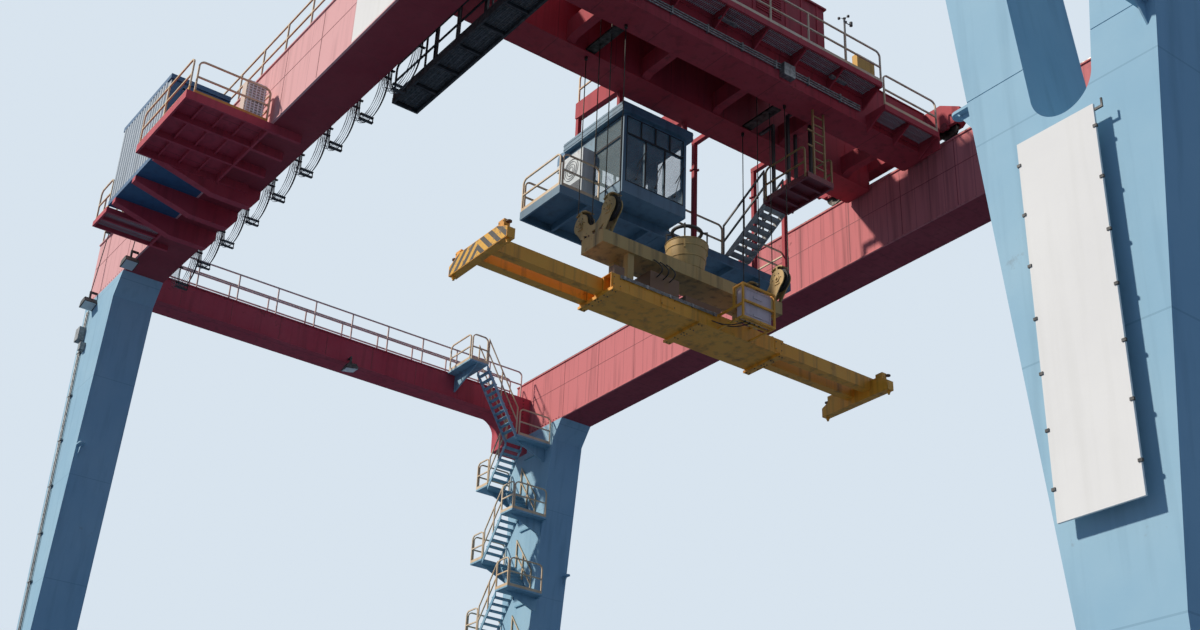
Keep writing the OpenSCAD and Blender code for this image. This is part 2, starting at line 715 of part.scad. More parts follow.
// A walkway on a cross beam's outer face: frame, brackets and, on its cross bars, the grating
module side_walkway(y0, y1, z, bays) {
    x1 = walk_x + walk_w;
    pitch = (y1 - y0 - 60) / bays;
    difference() {
        block([walk_x, y0, z - 180], [x1, y1, z]);
        block([walk_x + 50, y0 + 60, z - 181], [x1 - 60, y1 - 60, z + 1]);
    }
    for (i = [0 : bays]) translate([0, y0 + 30 + i * pitch, 0]) {
        block([walk_x + 30, -30, z - 160], [x1 - 30, 30, z - 40]);
        along_y(40) polygon([[walk_x, z - 180], [walk_x, z - 560], [x1 - 150, z - 180]]);
    }
    block([walk_x + 50 + seat, y0 + 60 + seat, z - 40 + seat], [x1 - 60 - seat, y1 - 60 - seat, z]);
}

module trolley_decks() {
    color(paint_red) on_trolley() {
        side_walkway(walk_y0, walk_y1, walk_z, 8);
        side_walkway(walk_y1 + 60, low_y1, low_z, 2);
        // end plate of the lower walkway, with the box on it
        block([walk_x, low_y1 + seat, low_z - 560], [walk_x + walk_w, low_y1 + 40, low_z + 100]);
    }
}

module trolley_railings() {
    color(paint_yellow) on_trolley() {
        translate([walk_x + walk_w - 30, walk_y0, walk_z]) rotate(90) railing(walk_y1 - walk_y0, toe_h);
        translate([walk_x + 30, walk_y0 + 30, walk_z]) railing(walk_w - 80, toe_h);
        translate([walk_x + walk_w - 30, walk_y1 + 60, low_z]) rotate(90)
            railing(low_y1 - walk_y1 - 60, toe_h);
    }
}

tray_z = girder_z - 100;
tray_l = 6100;
// The hanging tray: frame with its grating, two lattice sides and four hangers
module festoon_tray() {
    y0 = -7150;
    y1 = -6400;
    x1 = tray_l / 2;
    color("dimgray") on_trolley() {
        difference() {
            block([-x1, y0, tray_z - 160], [x1, y1, tray_z]);
            block([-x1 + 60, y0 + 60, tray_z - 161], [x1 - 60, y1 - 60, tray_z + 1]);
        }
        for (i = [1 : 5]) translate([-x1 + i * tray_l / 6, 0, 0])
            block([-35, y0 + 30, tray_z - 140], [35, y1 - 30, tray_z - 40]);
        block([-x1 + 60 + seat, y0 + 60 + seat, tray_z - 40 + seat],
            [x1 - 60 - seat, y1 - 60 - seat, tray_z]);
        for (y = [y0 + 30, y1 - 30]) translate([-x1, y, tray_z + seat]) railing(tray_l, toe_h);
        for (x = [-beam_gauge / 2, beam_gauge / 2], y = [y0 + 60, y1 - 120])
            block([x - 60, y, tray_z + seat], [x + 60, y + 60, beam_z]);
    }
}

cab_x = -3880;
cab_y = -1060;
cab_side = [-3700, -2670];
// The cab's panes as boxes through a wall of thickness t, set in by i on each edge
module cab_panes(t, i) {
    b = (cab_wall - t) / 2;
    long_x = [for (k = [0 : 2]) [120 + k * 660, 120 + k * 660 + 610]];
    long_up = [for (k = [0 : 3]) [120 + k * 495, 120 + k * 495 + 445]];
    for (x = [b, cab_l - cab_wall + b]) {
        for (p = long_x) block([x, p[0] + i, 390 + i], [x + t, p[1] - i, 1860 - i]);
        for (p = long_up) block([x, p[0] + i, 1920 + i], [x + t, p[1] - i, 2430 - i]);
    }
    block([1230 + i, b, 390 + i], [2400 - i, b + t, 1780 - i]);
    block([1230 + i, b, 1840 + i], [2400 - i, b + t, 2430 - i]);
    block([1250 + i, cab_w - cab_wall + b, 1000 + i], [2340 - i, cab_w - cab_wall + b + t, 2430 - i]);
}

module cab_shell() {
    b = cab_wall;
    roof = 280;
    door = [200, 1000];
    color("steelblue") on_trolley() translate([cab_x, cab_y, cab_z + seat]) {
        difference() {
            block([0, 0, 0], [cab_l, cab_w, cab_h - roof]);
            block([b, b, 80], [cab_l - b, cab_w - b, cab_h - roof - 50]);
            cab_panes(b + 20, 0);
            block([door[0], cab_w - b - 1, 80], [door[1], cab_w + 1, 2100]);
        }
        block([-130, -130, cab_h - roof], [cab_l + 130, cab_w + 130, cab_h]);
        // door leaf with its opening for the glass
        difference() {
            block([door[0] + seat, cab_w - 50, 80 + seat], [door[1] - seat, cab_w - 10, 2100 - seat]);
            block([door[0] + 120, cab_w - 60, 1000], [door[1] - 120, cab_w, 1950]);
        }
    }
}

module cab_windows() {
    color("lightblue", 0.5) on_trolley() translate([cab_x, cab_y, cab_z + seat]) {
        cab_panes(glass_t, seat);
        block([320 + seat, cab_w - 35, 1000 + seat], [880 - seat, cab_w - 35 + glass_t, 1950 - seat]);
    }
}

edge_x = -beam_gauge / 2 - beam_w / 2;
post_x = -3450;
column_x = -2200;
columns_y = [2100, 4360, 5550];
// Brackets and posts that carry the cab, and the columns that carry its platform
module cab_hangers() {
    top = cab_z + cab_h + 2 * seat;
    color(paint_red) on_trolley() {
        for (y = [cab_y - 50, cab_y + cab_w + 50]) {
            translate([0, y, 0]) along_y(180)
                polygon([[edge_x, beam_z + 10], [edge_x, beam_z + 620], [post_x - 60, beam_z + 660],
                    [post_x - 60, beam_z + 140], [post_x + 60, beam_z + 120]]);
            block([post_x - 60, y - 60, top], [post_x + 60, y + 60, beam_z + 300]);
            block([edge_x + 20, y - 60, top], [edge_x + 140, y + 60, beam_z]);
        }
        for (y = columns_y) translate([0, y, 0]) {
            block([column_x - 60, -70, beam_z + 10], [edge_x, 70, beam_z + 150]);
            block([column_x - 60, -60, cab_z + seat], [column_x + 60, 60, beam_z + 100]);
            block([column_x - 100, -100, cab_z + 2380], [column_x + 100, 100, cab_z + 2410]);
        }
    }
}

platform_x = -4000;
platform_y = [-2500, 5700];
// The platform under and beside the cab: edge channels, cross bars and two floors
module cab_walkway() {
    x1 = platform_x + platform_w;
    z0 = cab_z - platform_h;
    color("steelblue") on_trolley() {
        platform_frame([platform_x, platform_y[0], z0], [x1, platform_y[1], cab_z], 7, false);
        block([platform_x + 30, platform_y[0] + 30, cab_z - 40], [x1 - 30, cab_y, cab_z]);
        block([platform_x + 30, cab_y + cab_w, cab_z - 40], [x1 - 30, platform_y[1] - 30, cab_z]);
    }
}

stair_foot_x = -2360;
stair_foot_y = 3300;
stair_w = 750;
upper_deck = [-550, 1250];
upper_deck_z = cab_z + 1100;
module cab_railings() {
    x1 = platform_x + platform_w;
    y0 = platform_y[0];
    y1 = platform_y[1];
    out = cab_y + cab_w + 140;
    color(paint_yellow) on_trolley() translate([0, 0, cab_z + seat]) {
        translate([platform_x + 20, y0 + 30, 0]) railing(platform_w - 60, toe_h);
        translate([x1 - 30, y0 + 80, 0]) rotate(90) railing(cab_y - y0 - 220, toe_h);
        translate([platform_x + 30, y0 + 80, 0]) rotate(90) railing(900, toe_h);
        translate([platform_x + 30, out, 0]) rotate(90) railing(y1 - out - 80, toe_h);
        translate([platform_x + 20, y1 - 30, 0]) railing(platform_w - 60, toe_h);
        translate([x1 - 150, out, 0]) rotate(90) railing(stair_foot_y - out - 60, toe_h);
        translate([x1 - 150, stair_foot_y + stair_w + 60, 0]) rotate(90)
            railing(y1 - stair_foot_y - stair_w - 140, toe_h);
        // rail on the bracket catwalk above the roof
        translate([post_x - 60, cab_y - 50, beam_z + 660 - cab_z]) railing(edge_x - post_x - 60);
    }
}

module air_conditioner() {
    color("gainsboro") on_trolley() {
        block([cab_side[0], cab_y - 390, cab_z + 200], [cab_side[1], cab_y - seat, cab_z + 1900]);
        translate([-3780, cab_y - 260, cab_z + 2100]) along_y(180) {
            difference() {
                circle(180);
                circle(80);
                translate([-200, -400]) square([400, 400]);
            }
            translate([-180, -400]) square([100, 401]);
            translate([80, -201]) square([100, 202]);
        }
        for (x = [cab_side[0] + 100, cab_side[1] - 160])
            block([x, cab_y - 390, cab_z + seat], [x + 60, cab_y - seat, cab_z + 200]);
    }
}

// The stair from the cab's platform to the upper platform under the cross beams
module access_stair() {
    run = upper_deck[0] - stair_foot_x - seat;
    rise = upper_deck_z - cab_z - 2 * seat;
    y1 = stair_foot_y + stair_w;
    deck_y = [stair_foot_y - 100, y1 + 100];
    color("dimgray") on_trolley() {
        translate([stair_foot_x, 0, cab_z + seat]) {
            for (y = [stair_foot_y, y1 - 30]) translate([0, y + 15, 0]) along_y(30)
                polygon([[0, 0], [0, 60], [run, rise], [run, rise - 200], [320, 0]]);
            for (k = [1 : 8]) translate([k * run / 9 - 20, stair_foot_y + 15, k * rise / 9 - 60])
                cube([220, stair_w - 30, 40]);
        }
        platform_frame([upper_deck[0], deck_y[0], upper_deck_z - 160],
            [upper_deck[1], deck_y[1], upper_deck_z], 3);
        block([upper_deck[0] + 60 + seat, deck_y[0] + 60 + seat, upper_deck_z - 30],
            [upper_deck[1] - 60 - seat, deck_y[1] - 60 - seat, upper_deck_z - 10]);
        for (s = sides) translate([s * 300 + 150, 0, 0]) {
            block([-40, 4060, upper_deck_z - seat], [40, 4140, beam_z + 150 - seat]);
            block([-40, deck_y[0] + 10, upper_deck_z - seat], [40, deck_y[0] + 90, beam_z + 120]);
        }
        block([-700 + seat, deck_y[0] + 10, beam_z + 40], [-160, deck_y[0] + 90, beam_z + 120]);
        block([460, deck_y[0] + 10, beam_z + 40], [700 - seat, deck_y[0] + 90, beam_z + 120]);
    }
    color(paint_yellow) on_trolley() {
        for (y = [stair_foot_y + 15, y1 - 15]) translate([stair_foot_x, y, cab_z + 61])
            stair_rail(run - 60, (rise - 60) * (run - 60) / run, run / 2);
        for (y = [deck_y[0] - tube_t / 2 - seat, deck_y[1] + tube_t / 2 + seat])
            translate([upper_deck[0] + 130, y, upper_deck_z - 160])
                railing(upper_deck[1] - upper_deck[0] - 200);
        // ladder with its guard at the end of the platform
        translate([upper_deck[1] - 40, 0, upper_deck_z + seat]) {
            for (y = [3450, 3850]) block([-25, y, 0], [25, y + 50, beam_z - upper_deck_z - 2 * seat]);
            for (k = [1 : 7]) translate([0, 0, k * 280]) block([-15, 3500, -15], [15, 3850, 15]);
            for (z = [900, 1400]) block([-15, 3260, z], [15, 3450, z + 40]);
        }
    }
}

groove_h = 30;
groove_r = sheave_r - groove_h;
// The rope falls of one sheave housing, as x from the spreader's centre
fall_x = [for (s = sides, t = sides) s * sheave_gap / 2 + t * (groove_r + rope_d / 2 + seat)];
// Anchors of the outer falls, guides of the inner falls and the rods that run up into the house
module rope_anchors() {
    inner = beam_gauge / 2 - beam_w / 2;
    color("dimgray") on_trolley() for (s = sides) translate([0, s * block_l / 2, beam_z]) {
        for (x = [fall_x[0], fall_x[3]]) translate([x, 0, 0]) {
            translate([0, 0, -90]) cylinder(d = 90, h = 90);
        }
        difference() {
            block([-inner, -150, 60], [inner, 150, 120]);
            for (x = [fall_x[1], fall_x[2]]) translate([x, 0, 0]) cylinder(d = rope_d + 2 * seat, h = 200);
        }
        for (x = [fall_x[1], fall_x[2]]) translate([x, 0, 0]) cylinder(d = rope_d, h = beam_h - seat);
    }
}

module on_spreader() { translate([trolley_x, 0, spreader_z]) children(); }
arm_x = [150, 470];
frame_base = 150;
frame_h = tele_h + 2 * tube_gap + 2 * tube_wall;
frame_top = frame_base + frame_h;
block_z = frame_top + 880;
block_h = 350;
block_top = block_z + block_h;
pin_z = block_top + 570;
pin_x = sheave_gap / 2;

// Plate of a sheave housing: two lobes round the pins on a foot, cut out between and below
module housing_plate() {
    along_y(30) difference() {
        union() {
            for (t = sides) translate([t * pin_x, pin_z]) {
                circle(270);
                translate([-30, 0]) square([60, 380]);
            }
            polygon([[-450, block_top], [450, block_top], [pin_x + 262, pin_z - 60],
                [-pin_x - 262, pin_z - 60]]);
        }
        translate([0, pin_z + 60]) circle(300);
        translate([-70, block_top + 70]) square([140, 90]);
        for (t = sides)
            polygon([[t * 200, block_top + 70], [t * 370, block_top + 70], [t * 420, block_top + 190]]);
    }
}

// Beam with the four sheave housings, their pins, guards and the lock posts below
module headblock() {
    half = block_l / 2 + 150;
    color("darkkhaki") on_spreader() {
        block([-450, -half, block_z], [450, half, block_top]);
        for (s = sides) {
            for (t = sides) translate([0, s * block_l / 2 + t * 110, 0]) housing_plate();
            for (t = sides) translate([t * pin_x, s * block_l / 2, pin_z]) {
                rotate([90, 0, 0]) cylinder(d = 100, h = 250, center = true);
                along_y(250) intersection() {
                    difference() { circle(sheave_r + 60); circle(sheave_r + 30); }
                    polygon([[0, 0], [300, 430], [-300, 430]]);
                }
            }
        }
        for (s = sides, t = sides) translate([s * 300, t * 2000, 0])
            block([-90, -90, frame_top + seat], [90, 90, block_z]);
    }
}

module headblock_sheaves() {
    color("dimgray") on_spreader() for (s = sides, t = sides)
        translate([t * pin_x, s * block_l / 2, pin_z]) rotate([90, 0, 0]) rotate_extrude()
            polygon([[50 + seat, -40], [sheave_r, -40], [groove_r, -rope_d / 3], [groove_r, rope_d / 3],
                [sheave_r, 40], [50 + seat, 40]]);
}

basket_h = 800;
ring_z = 1200;
// The tub that catches the spreader's cable, with the ring that guides it
module cable_basket() {
    color("darkkhaki") on_spreader() translate([0, 50, block_top]) {
        difference() {
            cylinder(r1 = 440, r2 = 550, h = basket_h);
            translate([0, 0, 40]) cylinder(r1 = 420, r2 = 530, h = basket_h);
        }
        for (a = [45 : 90 : 315]) rotate(a) block([500, -20, basket_h - 300], [540, 20, basket_h + 20]);
    }
    color("dimgray") on_spreader() translate([0, 50, block_top]) {
        for (a = [45 : 90 : 315]) rotate(a) {
            block([500, -20, basket_h + 20], [540, 20, ring_z]);
            block([350, -20, ring_z - 40], [540, 20, ring_z]);
        }
        translate([0, 0, ring_z]) rotate_extrude() translate([375, 0]) circle(45, $fn = 16);
    }
}

box_y = [640, 1530];
module spreader_frame() {
    o = tele_w / 2 + tube_gap + tube_wall;
    out = arm_x[1] + o;
    color(paint_yellow) on_spreader() {
        difference() {
            union() {
                for (a = arm_x, s = sides) translate([s * a, 0, frame_base])
                    block([-o, -frame_l / 2, 0], [o, frame_l / 2, frame_h]);
                for (y = [-frame_l / 2, -100, frame_l / 2 - 200])
                    block([-700, y, frame_base - 60], [700, y + 200, frame_base]);
            }
            for (a = arm_x, s = sides) translate([s * a, 0, frame_base + tube_wall])
                block([-tele_w / 2 - tube_gap, -frame_l, 0],
                    [tele_w / 2 + tube_gap, frame_l, tele_h + 2 * tube_gap]);
        }
        // guard of tubes round the junction box
        for (y = [box_y[0] - 90, box_y[1] + 40]) translate([0, y, 0]) {
            block([out + seat, 0, frame_base], [1570, 50, frame_base + 50]);
            block([out + seat, 0, frame_top - 50], [1570, 50, frame_top]);
            block([1520, 0, frame_base], [1570, 50, 1110]);
            block([1190, 0, 1060], [1570, 50, 1110]);
            block([1190, 0, frame_top - 50], [1240, 50, 1110]);
        }
        for (z = [frame_base, 600, 1060])
            block([1520, box_y[0] - 90, z], [1570, box_y[1] + 90, z + 50]);
        for (x = [1280, 1430])
            block([x, box_y[0] - 90, frame_base], [x + 50, box_y[1] + 90, frame_base + 50]);
    }
    // wear pads on which the arms slide
    pad = tube_gap - seat;
    color("gray") on_spreader() for (a = arm_x, s = sides, t = sides, u = [0, 1])
        translate([s * a, t * (frame_l / 2 - 150), frame_base + tube_wall + u * (tele_h + tube_gap + seat)])
            block([-tele_w / 2 + 20, -120, 0], [tele_w / 2 - 20, 120, pad]);
    // power pack, cylinders and pads between the tubes and the headblock
    color("saddlebrown") on_spreader() {
        block([-520, -1500, frame_top + seat], [520, -600, frame_top + 560]);
        block([-350, -250, frame_top + seat], [350, 900, frame_top + 380]);
        for (x = [-100, 100]) translate([x, 2150, frame_top + 160]) rotate([90, 0, 0])
            cylinder(d = 160, h = 1100, center = true);
        for (y = [1700, 2550]) block([-420, y, frame_top + seat], [420, y + 60, frame_top + 160]);
        for (s = sides)
            block([s * 500 - 110, -2650, frame_top + seat], [s * 500 + 110, -2350, frame_top + 250]);
    }
}

module junction_box() {
    color("rosybrown") on_spreader() {
        block([1250, box_y[0], frame_base + 50 + seat], [1500, box_y[1], 1050]);
        for (z = [300, 800]) block([1500, box_y[0] + 300, z], [1520 - seat, box_y[1] - 300, z + 60]);
    }
}

arm_in = 1200;
// One end of the spreader: two arms and the end beam with its twistlocks
module arms(s, xs) {
    y1 = lock_l / 2;
    half = lock_w / 2 + 89;
    color(paint_yellow) on_spreader() scale([1, s, 1]) {
        for (x = xs) translate([x, 0, frame_base + tube_wall + tube_gap])
            block([-tele_w / 2, arm_in, 0], [tele_w / 2, y1, tele_h]);
        translate([0, y1 - 18, 0]) along_y(214)
            polygon([[-half, 0], [half, 0], [half, 260], [800, 450], [-800, 450], [-half, 260]]);
        for (t = sides) translate([t * lock_w / 2, y1, 0]) {
            translate([0, 0, -100]) cylinder(d = 60, h = 110);
            translate([0, 0, -100]) cylinder(d1 = 40, d2 = 100, h = 60, $fn = 24);
        }
        // actuator boxes on the end beam
        for (t = sides) block([t * 900 - 120, y1 - 100, 200], [t * 900 + 120, y1 + 60, 560]);
    }
}

module hoist_ropes() {
    z0 = spreader_z + pin_z;
    color("dimgray") on_trolley() for (s = sides, i = [0 : 3])
        translate([fall_x[i], s * block_l / 2, z0])
            cylinder(d = rope_d, h = beam_z - (i == 0 || i == 3 ? 90 : 0) - seat - z0);
}

girder(-1);  // front_girder
girder(1);  // rear_girder
near_leg(-1);  // near_front_leg
near_leg(1);  // near_rear_leg
far_leg(-1);  // far_front_leg
far_leg(1);  // far_rear_leg
tie_beam(end_x - tie_in);  // near_tie_beam
tie_beam(-end_x + tie_in);  // far_tie_beam
sill_beams();
bogies();
ground_wheels();
trolley_rails();
girder_railings();
tie_railings();
electrical_house();
house_deck();
house_railings();
festoon_rail();
festoon_cables();
leg_stairs();
stair_railings();
leg_board();
floodlights();
trolley_beams();
end_carriages();
trolley_wheels();
machinery_house();
trolley_decks();
trolley_railings();
festoon_tray();
cab_shell();
cab_windows();
cab_hangers();
cab_walkway();
cab_railings();
air_conditioner();
access_stair();
rope_anchors();
headblock();
headblock_sheaves();
cable_basket();
spreader_frame();
junction_box();
arms(-1, [arm_x[0], -arm_x[1]]);  // front_arms
arms(1, [-arm_x[0], arm_x[1]]);  // rear_arms
hoist_ropes();
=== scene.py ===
import bmesh
import bpy
import math
import numpy as np
from mathutils import Matrix, Vector


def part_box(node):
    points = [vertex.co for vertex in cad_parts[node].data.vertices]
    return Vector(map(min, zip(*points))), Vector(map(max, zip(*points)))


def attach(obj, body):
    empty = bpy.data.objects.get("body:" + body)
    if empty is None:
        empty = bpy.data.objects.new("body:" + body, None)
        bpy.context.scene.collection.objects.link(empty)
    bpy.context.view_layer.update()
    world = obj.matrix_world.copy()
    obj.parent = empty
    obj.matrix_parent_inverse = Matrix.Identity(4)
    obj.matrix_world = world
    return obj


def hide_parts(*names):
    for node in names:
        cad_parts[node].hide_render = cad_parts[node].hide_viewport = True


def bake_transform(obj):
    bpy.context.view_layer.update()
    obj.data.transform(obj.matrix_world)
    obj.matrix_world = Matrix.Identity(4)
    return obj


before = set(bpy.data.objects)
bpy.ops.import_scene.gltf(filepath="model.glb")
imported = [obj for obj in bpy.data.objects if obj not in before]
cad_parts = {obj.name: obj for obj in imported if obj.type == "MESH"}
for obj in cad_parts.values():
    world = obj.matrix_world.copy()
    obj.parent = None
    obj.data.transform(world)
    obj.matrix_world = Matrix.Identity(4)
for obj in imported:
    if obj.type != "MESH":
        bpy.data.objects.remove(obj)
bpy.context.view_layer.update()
print("stage: frame loaded")

# the photo's viewpoint: a standing eye in front of the near legs, looking up at the trolley
cameraSettings = {
    "location": (26.22, -21.73, 1.60),
    "right": (0.59918, 0.79979, 0.03629),
    "down": (-0.35648, 0.30710, -0.88239),
    "forward": (-0.71687, 0.51578, 0.46912),
    "lens": 46.954,
    "sensor": 36.0,
    "sight": 3000.0,
}


def addCamera(s):
    # the columns of its matrix are the directions right, up and back, and its place
    data = bpy.data.cameras.new("camera")
    data.lens = s["lens"]
    data.sensor_width = s["sensor"]
    data.clip_end = s["sight"]
    camera = bpy.data.objects.new("camera", data)
    bpy.context.scene.collection.objects.link(camera)
    pose = np.eye(4)
    pose[:3, 0] = s["right"]
    pose[:3, 1] = -np.array(s["down"])
    pose[:3, 2] = -np.array(s["forward"])
    pose[:3, 3] = s["location"]
    camera.matrix_world = Matrix(pose.tolist())
    bpy.context.scene.camera = camera


addCamera(cameraSettings)

# places that several pieces share, in metres
trolleyX = -0.4  # middle of the trolley and of the spreader
spreaderZ = 19.3  # underside of the spreader
beamZ = 27.05  # underside of the trolley's cross beams
tieX = 19.4  # middle of the tie beams, to both sides
girderWebs = ((8.95, 1), (7.73, -1))  # distance of a girder's outer and inner web, and the way that it looks


def boxes(lows, highs):
    # 8 corners for each box: low * (1 - pick) + high * pick, where pick is 0 or 1 on each axis
    lows, highs = np.atleast_2d(lows).astype(float), np.atleast_2d(highs).astype(float)
    pick = np.array([[0, 0, 0], [1, 0, 0], [1, 1, 0], [0, 1, 0], [0, 0, 1], [1, 0, 1], [1, 1, 1], [0, 1, 1]])
    verts = lows[:, None, :] * (1 - pick) + highs[:, None, :] * pick
    quads = np.array([[0, 3, 2, 1], [4, 5, 6, 7], [0, 1, 5, 4], [1, 2, 6, 5], [2, 3, 7, 6], [3, 0, 4, 7]])
    faces = quads[None] + 8 * np.arange(len(lows))[:, None, None]
    return verts.reshape(-1, 3), faces.reshape(-1, 4).tolist()


def points(x, y, z):
    # numbers and rows of numbers, repeated to one length and stacked as points
    return np.stack(np.broadcast_arrays(*np.atleast_1d(x, y, z)), 1).astype(float)


def grid(x, y, z):
    # every combination of the given x, y and z, with z changing first
    return np.array(np.meshgrid(x, y, z, indexing="ij"), float).reshape(3, -1).T


def circle(centre, radius, angle, axis="Y"):
    # centre + radius * (cos, sin) across the axis
    x, y, z = centre
    across, other = radius * np.cos(angle), radius * np.sin(angle)
    return points(x + across, y, z + other) if axis == "Y" else points(x + across, y + other, z)


def blocks(x, y, z, size):
    # equal boxes from their low corners
    lows = points(x, y, z)
    return boxes(lows, lows + size)


def plateSides(face, depth):
    # the two sides of a plate that stands on a face, the lower first
    return sorted((face, face + depth))


def tube(path, radius, sides=8, lobes=0, pitch=1.0, caps=True):
    # A circle carried along a path: centre + radius * (cos * normal + sin * binormal). With lobes the radius
    # swells lobes times round the circle and turns once per pitch, as the strands of a rope do.
    path = np.asarray(path, float)
    step = np.gradient(path, axis=0)
    tangent = step / np.linalg.norm(step, axis=1)[:, None]
    guide = np.array([0.0, 1.0, 0.0]) if np.abs(tangent[:, 1]).max() < 0.9 else np.array([0.0, 0.0, 1.0])
    if np.abs(tangent @ guide).max() > 0.97:
        guide = np.array([1.0, 0.0, 0.0])
    normal = np.cross(tangent, guide)
    normal /= np.linalg.norm(normal, axis=1)[:, None]
    binormal = np.cross(tangent, normal)
    angle = np.linspace(0, 2 * np.pi, sides, endpoint=False)
    swell = 1.0
    if lobes:
        along = np.concatenate([[0], np.cumsum(np.linalg.norm(np.diff(path, axis=0), axis=1))])
        phase = lobes * (angle[None, :] - 2 * np.pi * along[:, None] / pitch)
        swell = 0.9 + 0.1 * np.abs(np.cos(phase / 2))
    ring = radius * swell * np.ones((len(path), sides))
    verts = (path[:, None] + ring[..., None] * (np.cos(angle)[None, :, None] * normal[:, None]
             + np.sin(angle)[None, :, None] * binormal[:, None]))
    i = np.arange(len(path) - 1)[:, None] * sides
    j = np.arange(sides)[None]
    k = (j + 1) % sides
    faces = np.stack([i + j, i + k, i + sides + k, i + sides + j], -1).reshape(-1, 4)[:, ::-1].tolist()
    if caps:
        faces.append(list(range(sides)))
        faces.append(list(range((len(path) - 1) * sides, len(path) * sides))[::-1])
    return verts.reshape(-1, 3), faces


def discs(centres, axis, radius, height, sides=6):
    # short prisms: centre + radius * (cos, sin) across the axis, at 0 and at the height along it
    centres = np.atleast_2d(centres).astype(float)
    axis = np.asarray(axis, float) / np.linalg.norm(axis)
    across = np.cross(axis, [0.3, 0.5, 0.8])
    across /= np.linalg.norm(across)
    other = np.cross(axis, across)
    angle = np.linspace(0, 2 * np.pi, sides, endpoint=False)
    ring = radius * (np.cos(angle)[:, None] * across + np.sin(angle)[:, None] * other)
    verts = np.concatenate([centres[:, None] + ring, centres[:, None] + ring + height * axis], 1)
    j = np.arange(sides)
    k = (j + 1) % sides
    sideFaces = np.stack([j, k, k + sides, j + sides], -1).tolist()
    one = sideFaces + [list(range(sides))[::-1], list(range(sides, 2 * sides))]
    faces = [[v + 2 * sides * n for v in face] for n in range(len(centres)) for face in one]
    return verts.reshape(-1, 3), faces


def prism(corners, shift):
    # a flat polygon and its copy moved by shift, closed by quads
    corners = np.asarray(corners, float)
    n = len(corners)
    faces = [list(range(n))[::-1], list(range(n, 2 * n))]
    faces += [[j, (j + 1) % n, (j + 1) % n + n, j + n] for j in range(n)]
    return np.concatenate([corners, corners + np.asarray(shift, float)]), faces


def turned(part, angle, place):
    # a part turned about Z and moved
    verts, faces = part
    c, s = math.cos(angle), math.sin(angle)
    return verts @ np.array([[c, s, 0], [-s, c, 0], [0, 0, 1]]) + np.asarray(place, float), faces


def joined(parts):
    # several parts as one, with the corner numbers of each moved past those before it
    verts, faces, start = [], [], 0
    for partVerts, partFaces in parts:
        verts.append(partVerts)
        faces += [[v + start for v in face] for face in partFaces]
        start += len(partVerts)
    return np.concatenate(verts), faces


def addPiece(name, parts, material, body, smooth=False):
    # one object from its parts, with all faces turned outwards; a piece with no body is left unattached
    verts, faces = joined(parts)
    mesh = bpy.data.meshes.new(name)
    mesh.from_pydata(verts.tolist(), [], faces)
    mesh.materials.append(material)
    mesh.validate()
    shell = bmesh.new()
    shell.from_mesh(mesh)
    bmesh.ops.recalc_face_normals(shell, faces=shell.faces)
    shell.to_mesh(mesh)
    shell.free()
    if smooth:
        mesh.shade_smooth()
    else:
        mesh.shade_flat()
    piece = bpy.data.objects.new(name, mesh)
    bpy.context.scene.collection.objects.link(piece)
    if body:
        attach(piece, body)
    return piece


def hexColor(text):
    # sRGB hex to linear: v / 12.92 near black, and ((v + 0.055) / 1.055) ** 2.4 above
    rgb = np.array([int(text[i:i + 2], 16) / 255 for i in (1, 3, 5)])
    linear = np.where(rgb <= 0.04045, rgb / 12.92, ((rgb + 0.055) / 1.055) ** 2.4)
    return (*linear.tolist(), 1.0)


def addNode(tree, kind, settings=None, inputs=None):
    # a node with its settings; an input is a value, or the socket that it is linked to
    node = tree.nodes.new(kind)
    for key, value in (settings or {}).items():
        setattr(node, key, value)
    for key, value in (inputs or {}).items():
        if isinstance(value, bpy.types.NodeSocket):
            tree.links.new(value, node.inputs[key])
        else:
            node.inputs[key].default_value = value
    return node


colorMix = {"data_type": "RGBA"}  # 0 is the share, 6 the colour below and 7 the colour above


def newMaterial(name):
    # an empty tree and the object's coordinates in metres
    material = bpy.data.materials.new(name)
    material.use_nodes = True
    tree = material.node_tree
    tree.nodes.clear()
    return material, tree, addNode(tree, "ShaderNodeTexCoord").outputs["Object"]


def closeMaterial(tree, color, rough, bump=None, others=None):
    # shader and output; bump is its strength, its depth in metres and its height
    inputs = {"Base Color": color, "Roughness": rough, **(others or {})}
    if bump:
        relief = addNode(tree, "ShaderNodeBump", inputs=dict(zip(("Strength", "Distance", "Height"), bump)))
        inputs["Normal"] = relief.outputs[0]
    shader = addNode(tree, "ShaderNodeBsdfPrincipled", inputs=inputs)
    addNode(tree, "ShaderNodeOutputMaterial", inputs={"Surface": shader.outputs["BSDF"]})


def beyond(tree, place, conditions):
    # 1 where the place, measured along each direction, is past that direction's limit
    mask = None
    for direction, limit in conditions:
        reach = addNode(tree, "ShaderNodeVectorMath", {"operation": "DOT_PRODUCT"}, {0: place, 1: direction})
        over = addNode(tree, "ShaderNodeMath", {"operation": "GREATER_THAN"},
                       {0: reach.outputs["Value"], 1: limit})
        if mask is None:
            mask = over
        else:
            both = {0: mask.outputs[0], 1: over.outputs[0]}
            mask = addNode(tree, "ShaderNodeMath", {"operation": "MULTIPLY"}, both)
    return mask.outputs[0]


def uprightStreaks(tree, place, scale, low, strength):
    # a noise squeezed by the scale, as a mask that rises from 0 at low to the strength at 0.8
    squeezed = addNode(tree, "ShaderNodeMapping", inputs={"Vector": place, "Scale": scale})
    streak = addNode(tree, "ShaderNodeTexNoise",
                     inputs={"Vector": squeezed.outputs[0], "Scale": 1.0, "Detail": 5.0})
    mask = addNode(tree, "ShaderNodeMapRange", inputs={
        "Value": streak.outputs["Fac"], "From Min": low, "From Max": 0.8, "To Max": strength})
    return mask.outputs[0]


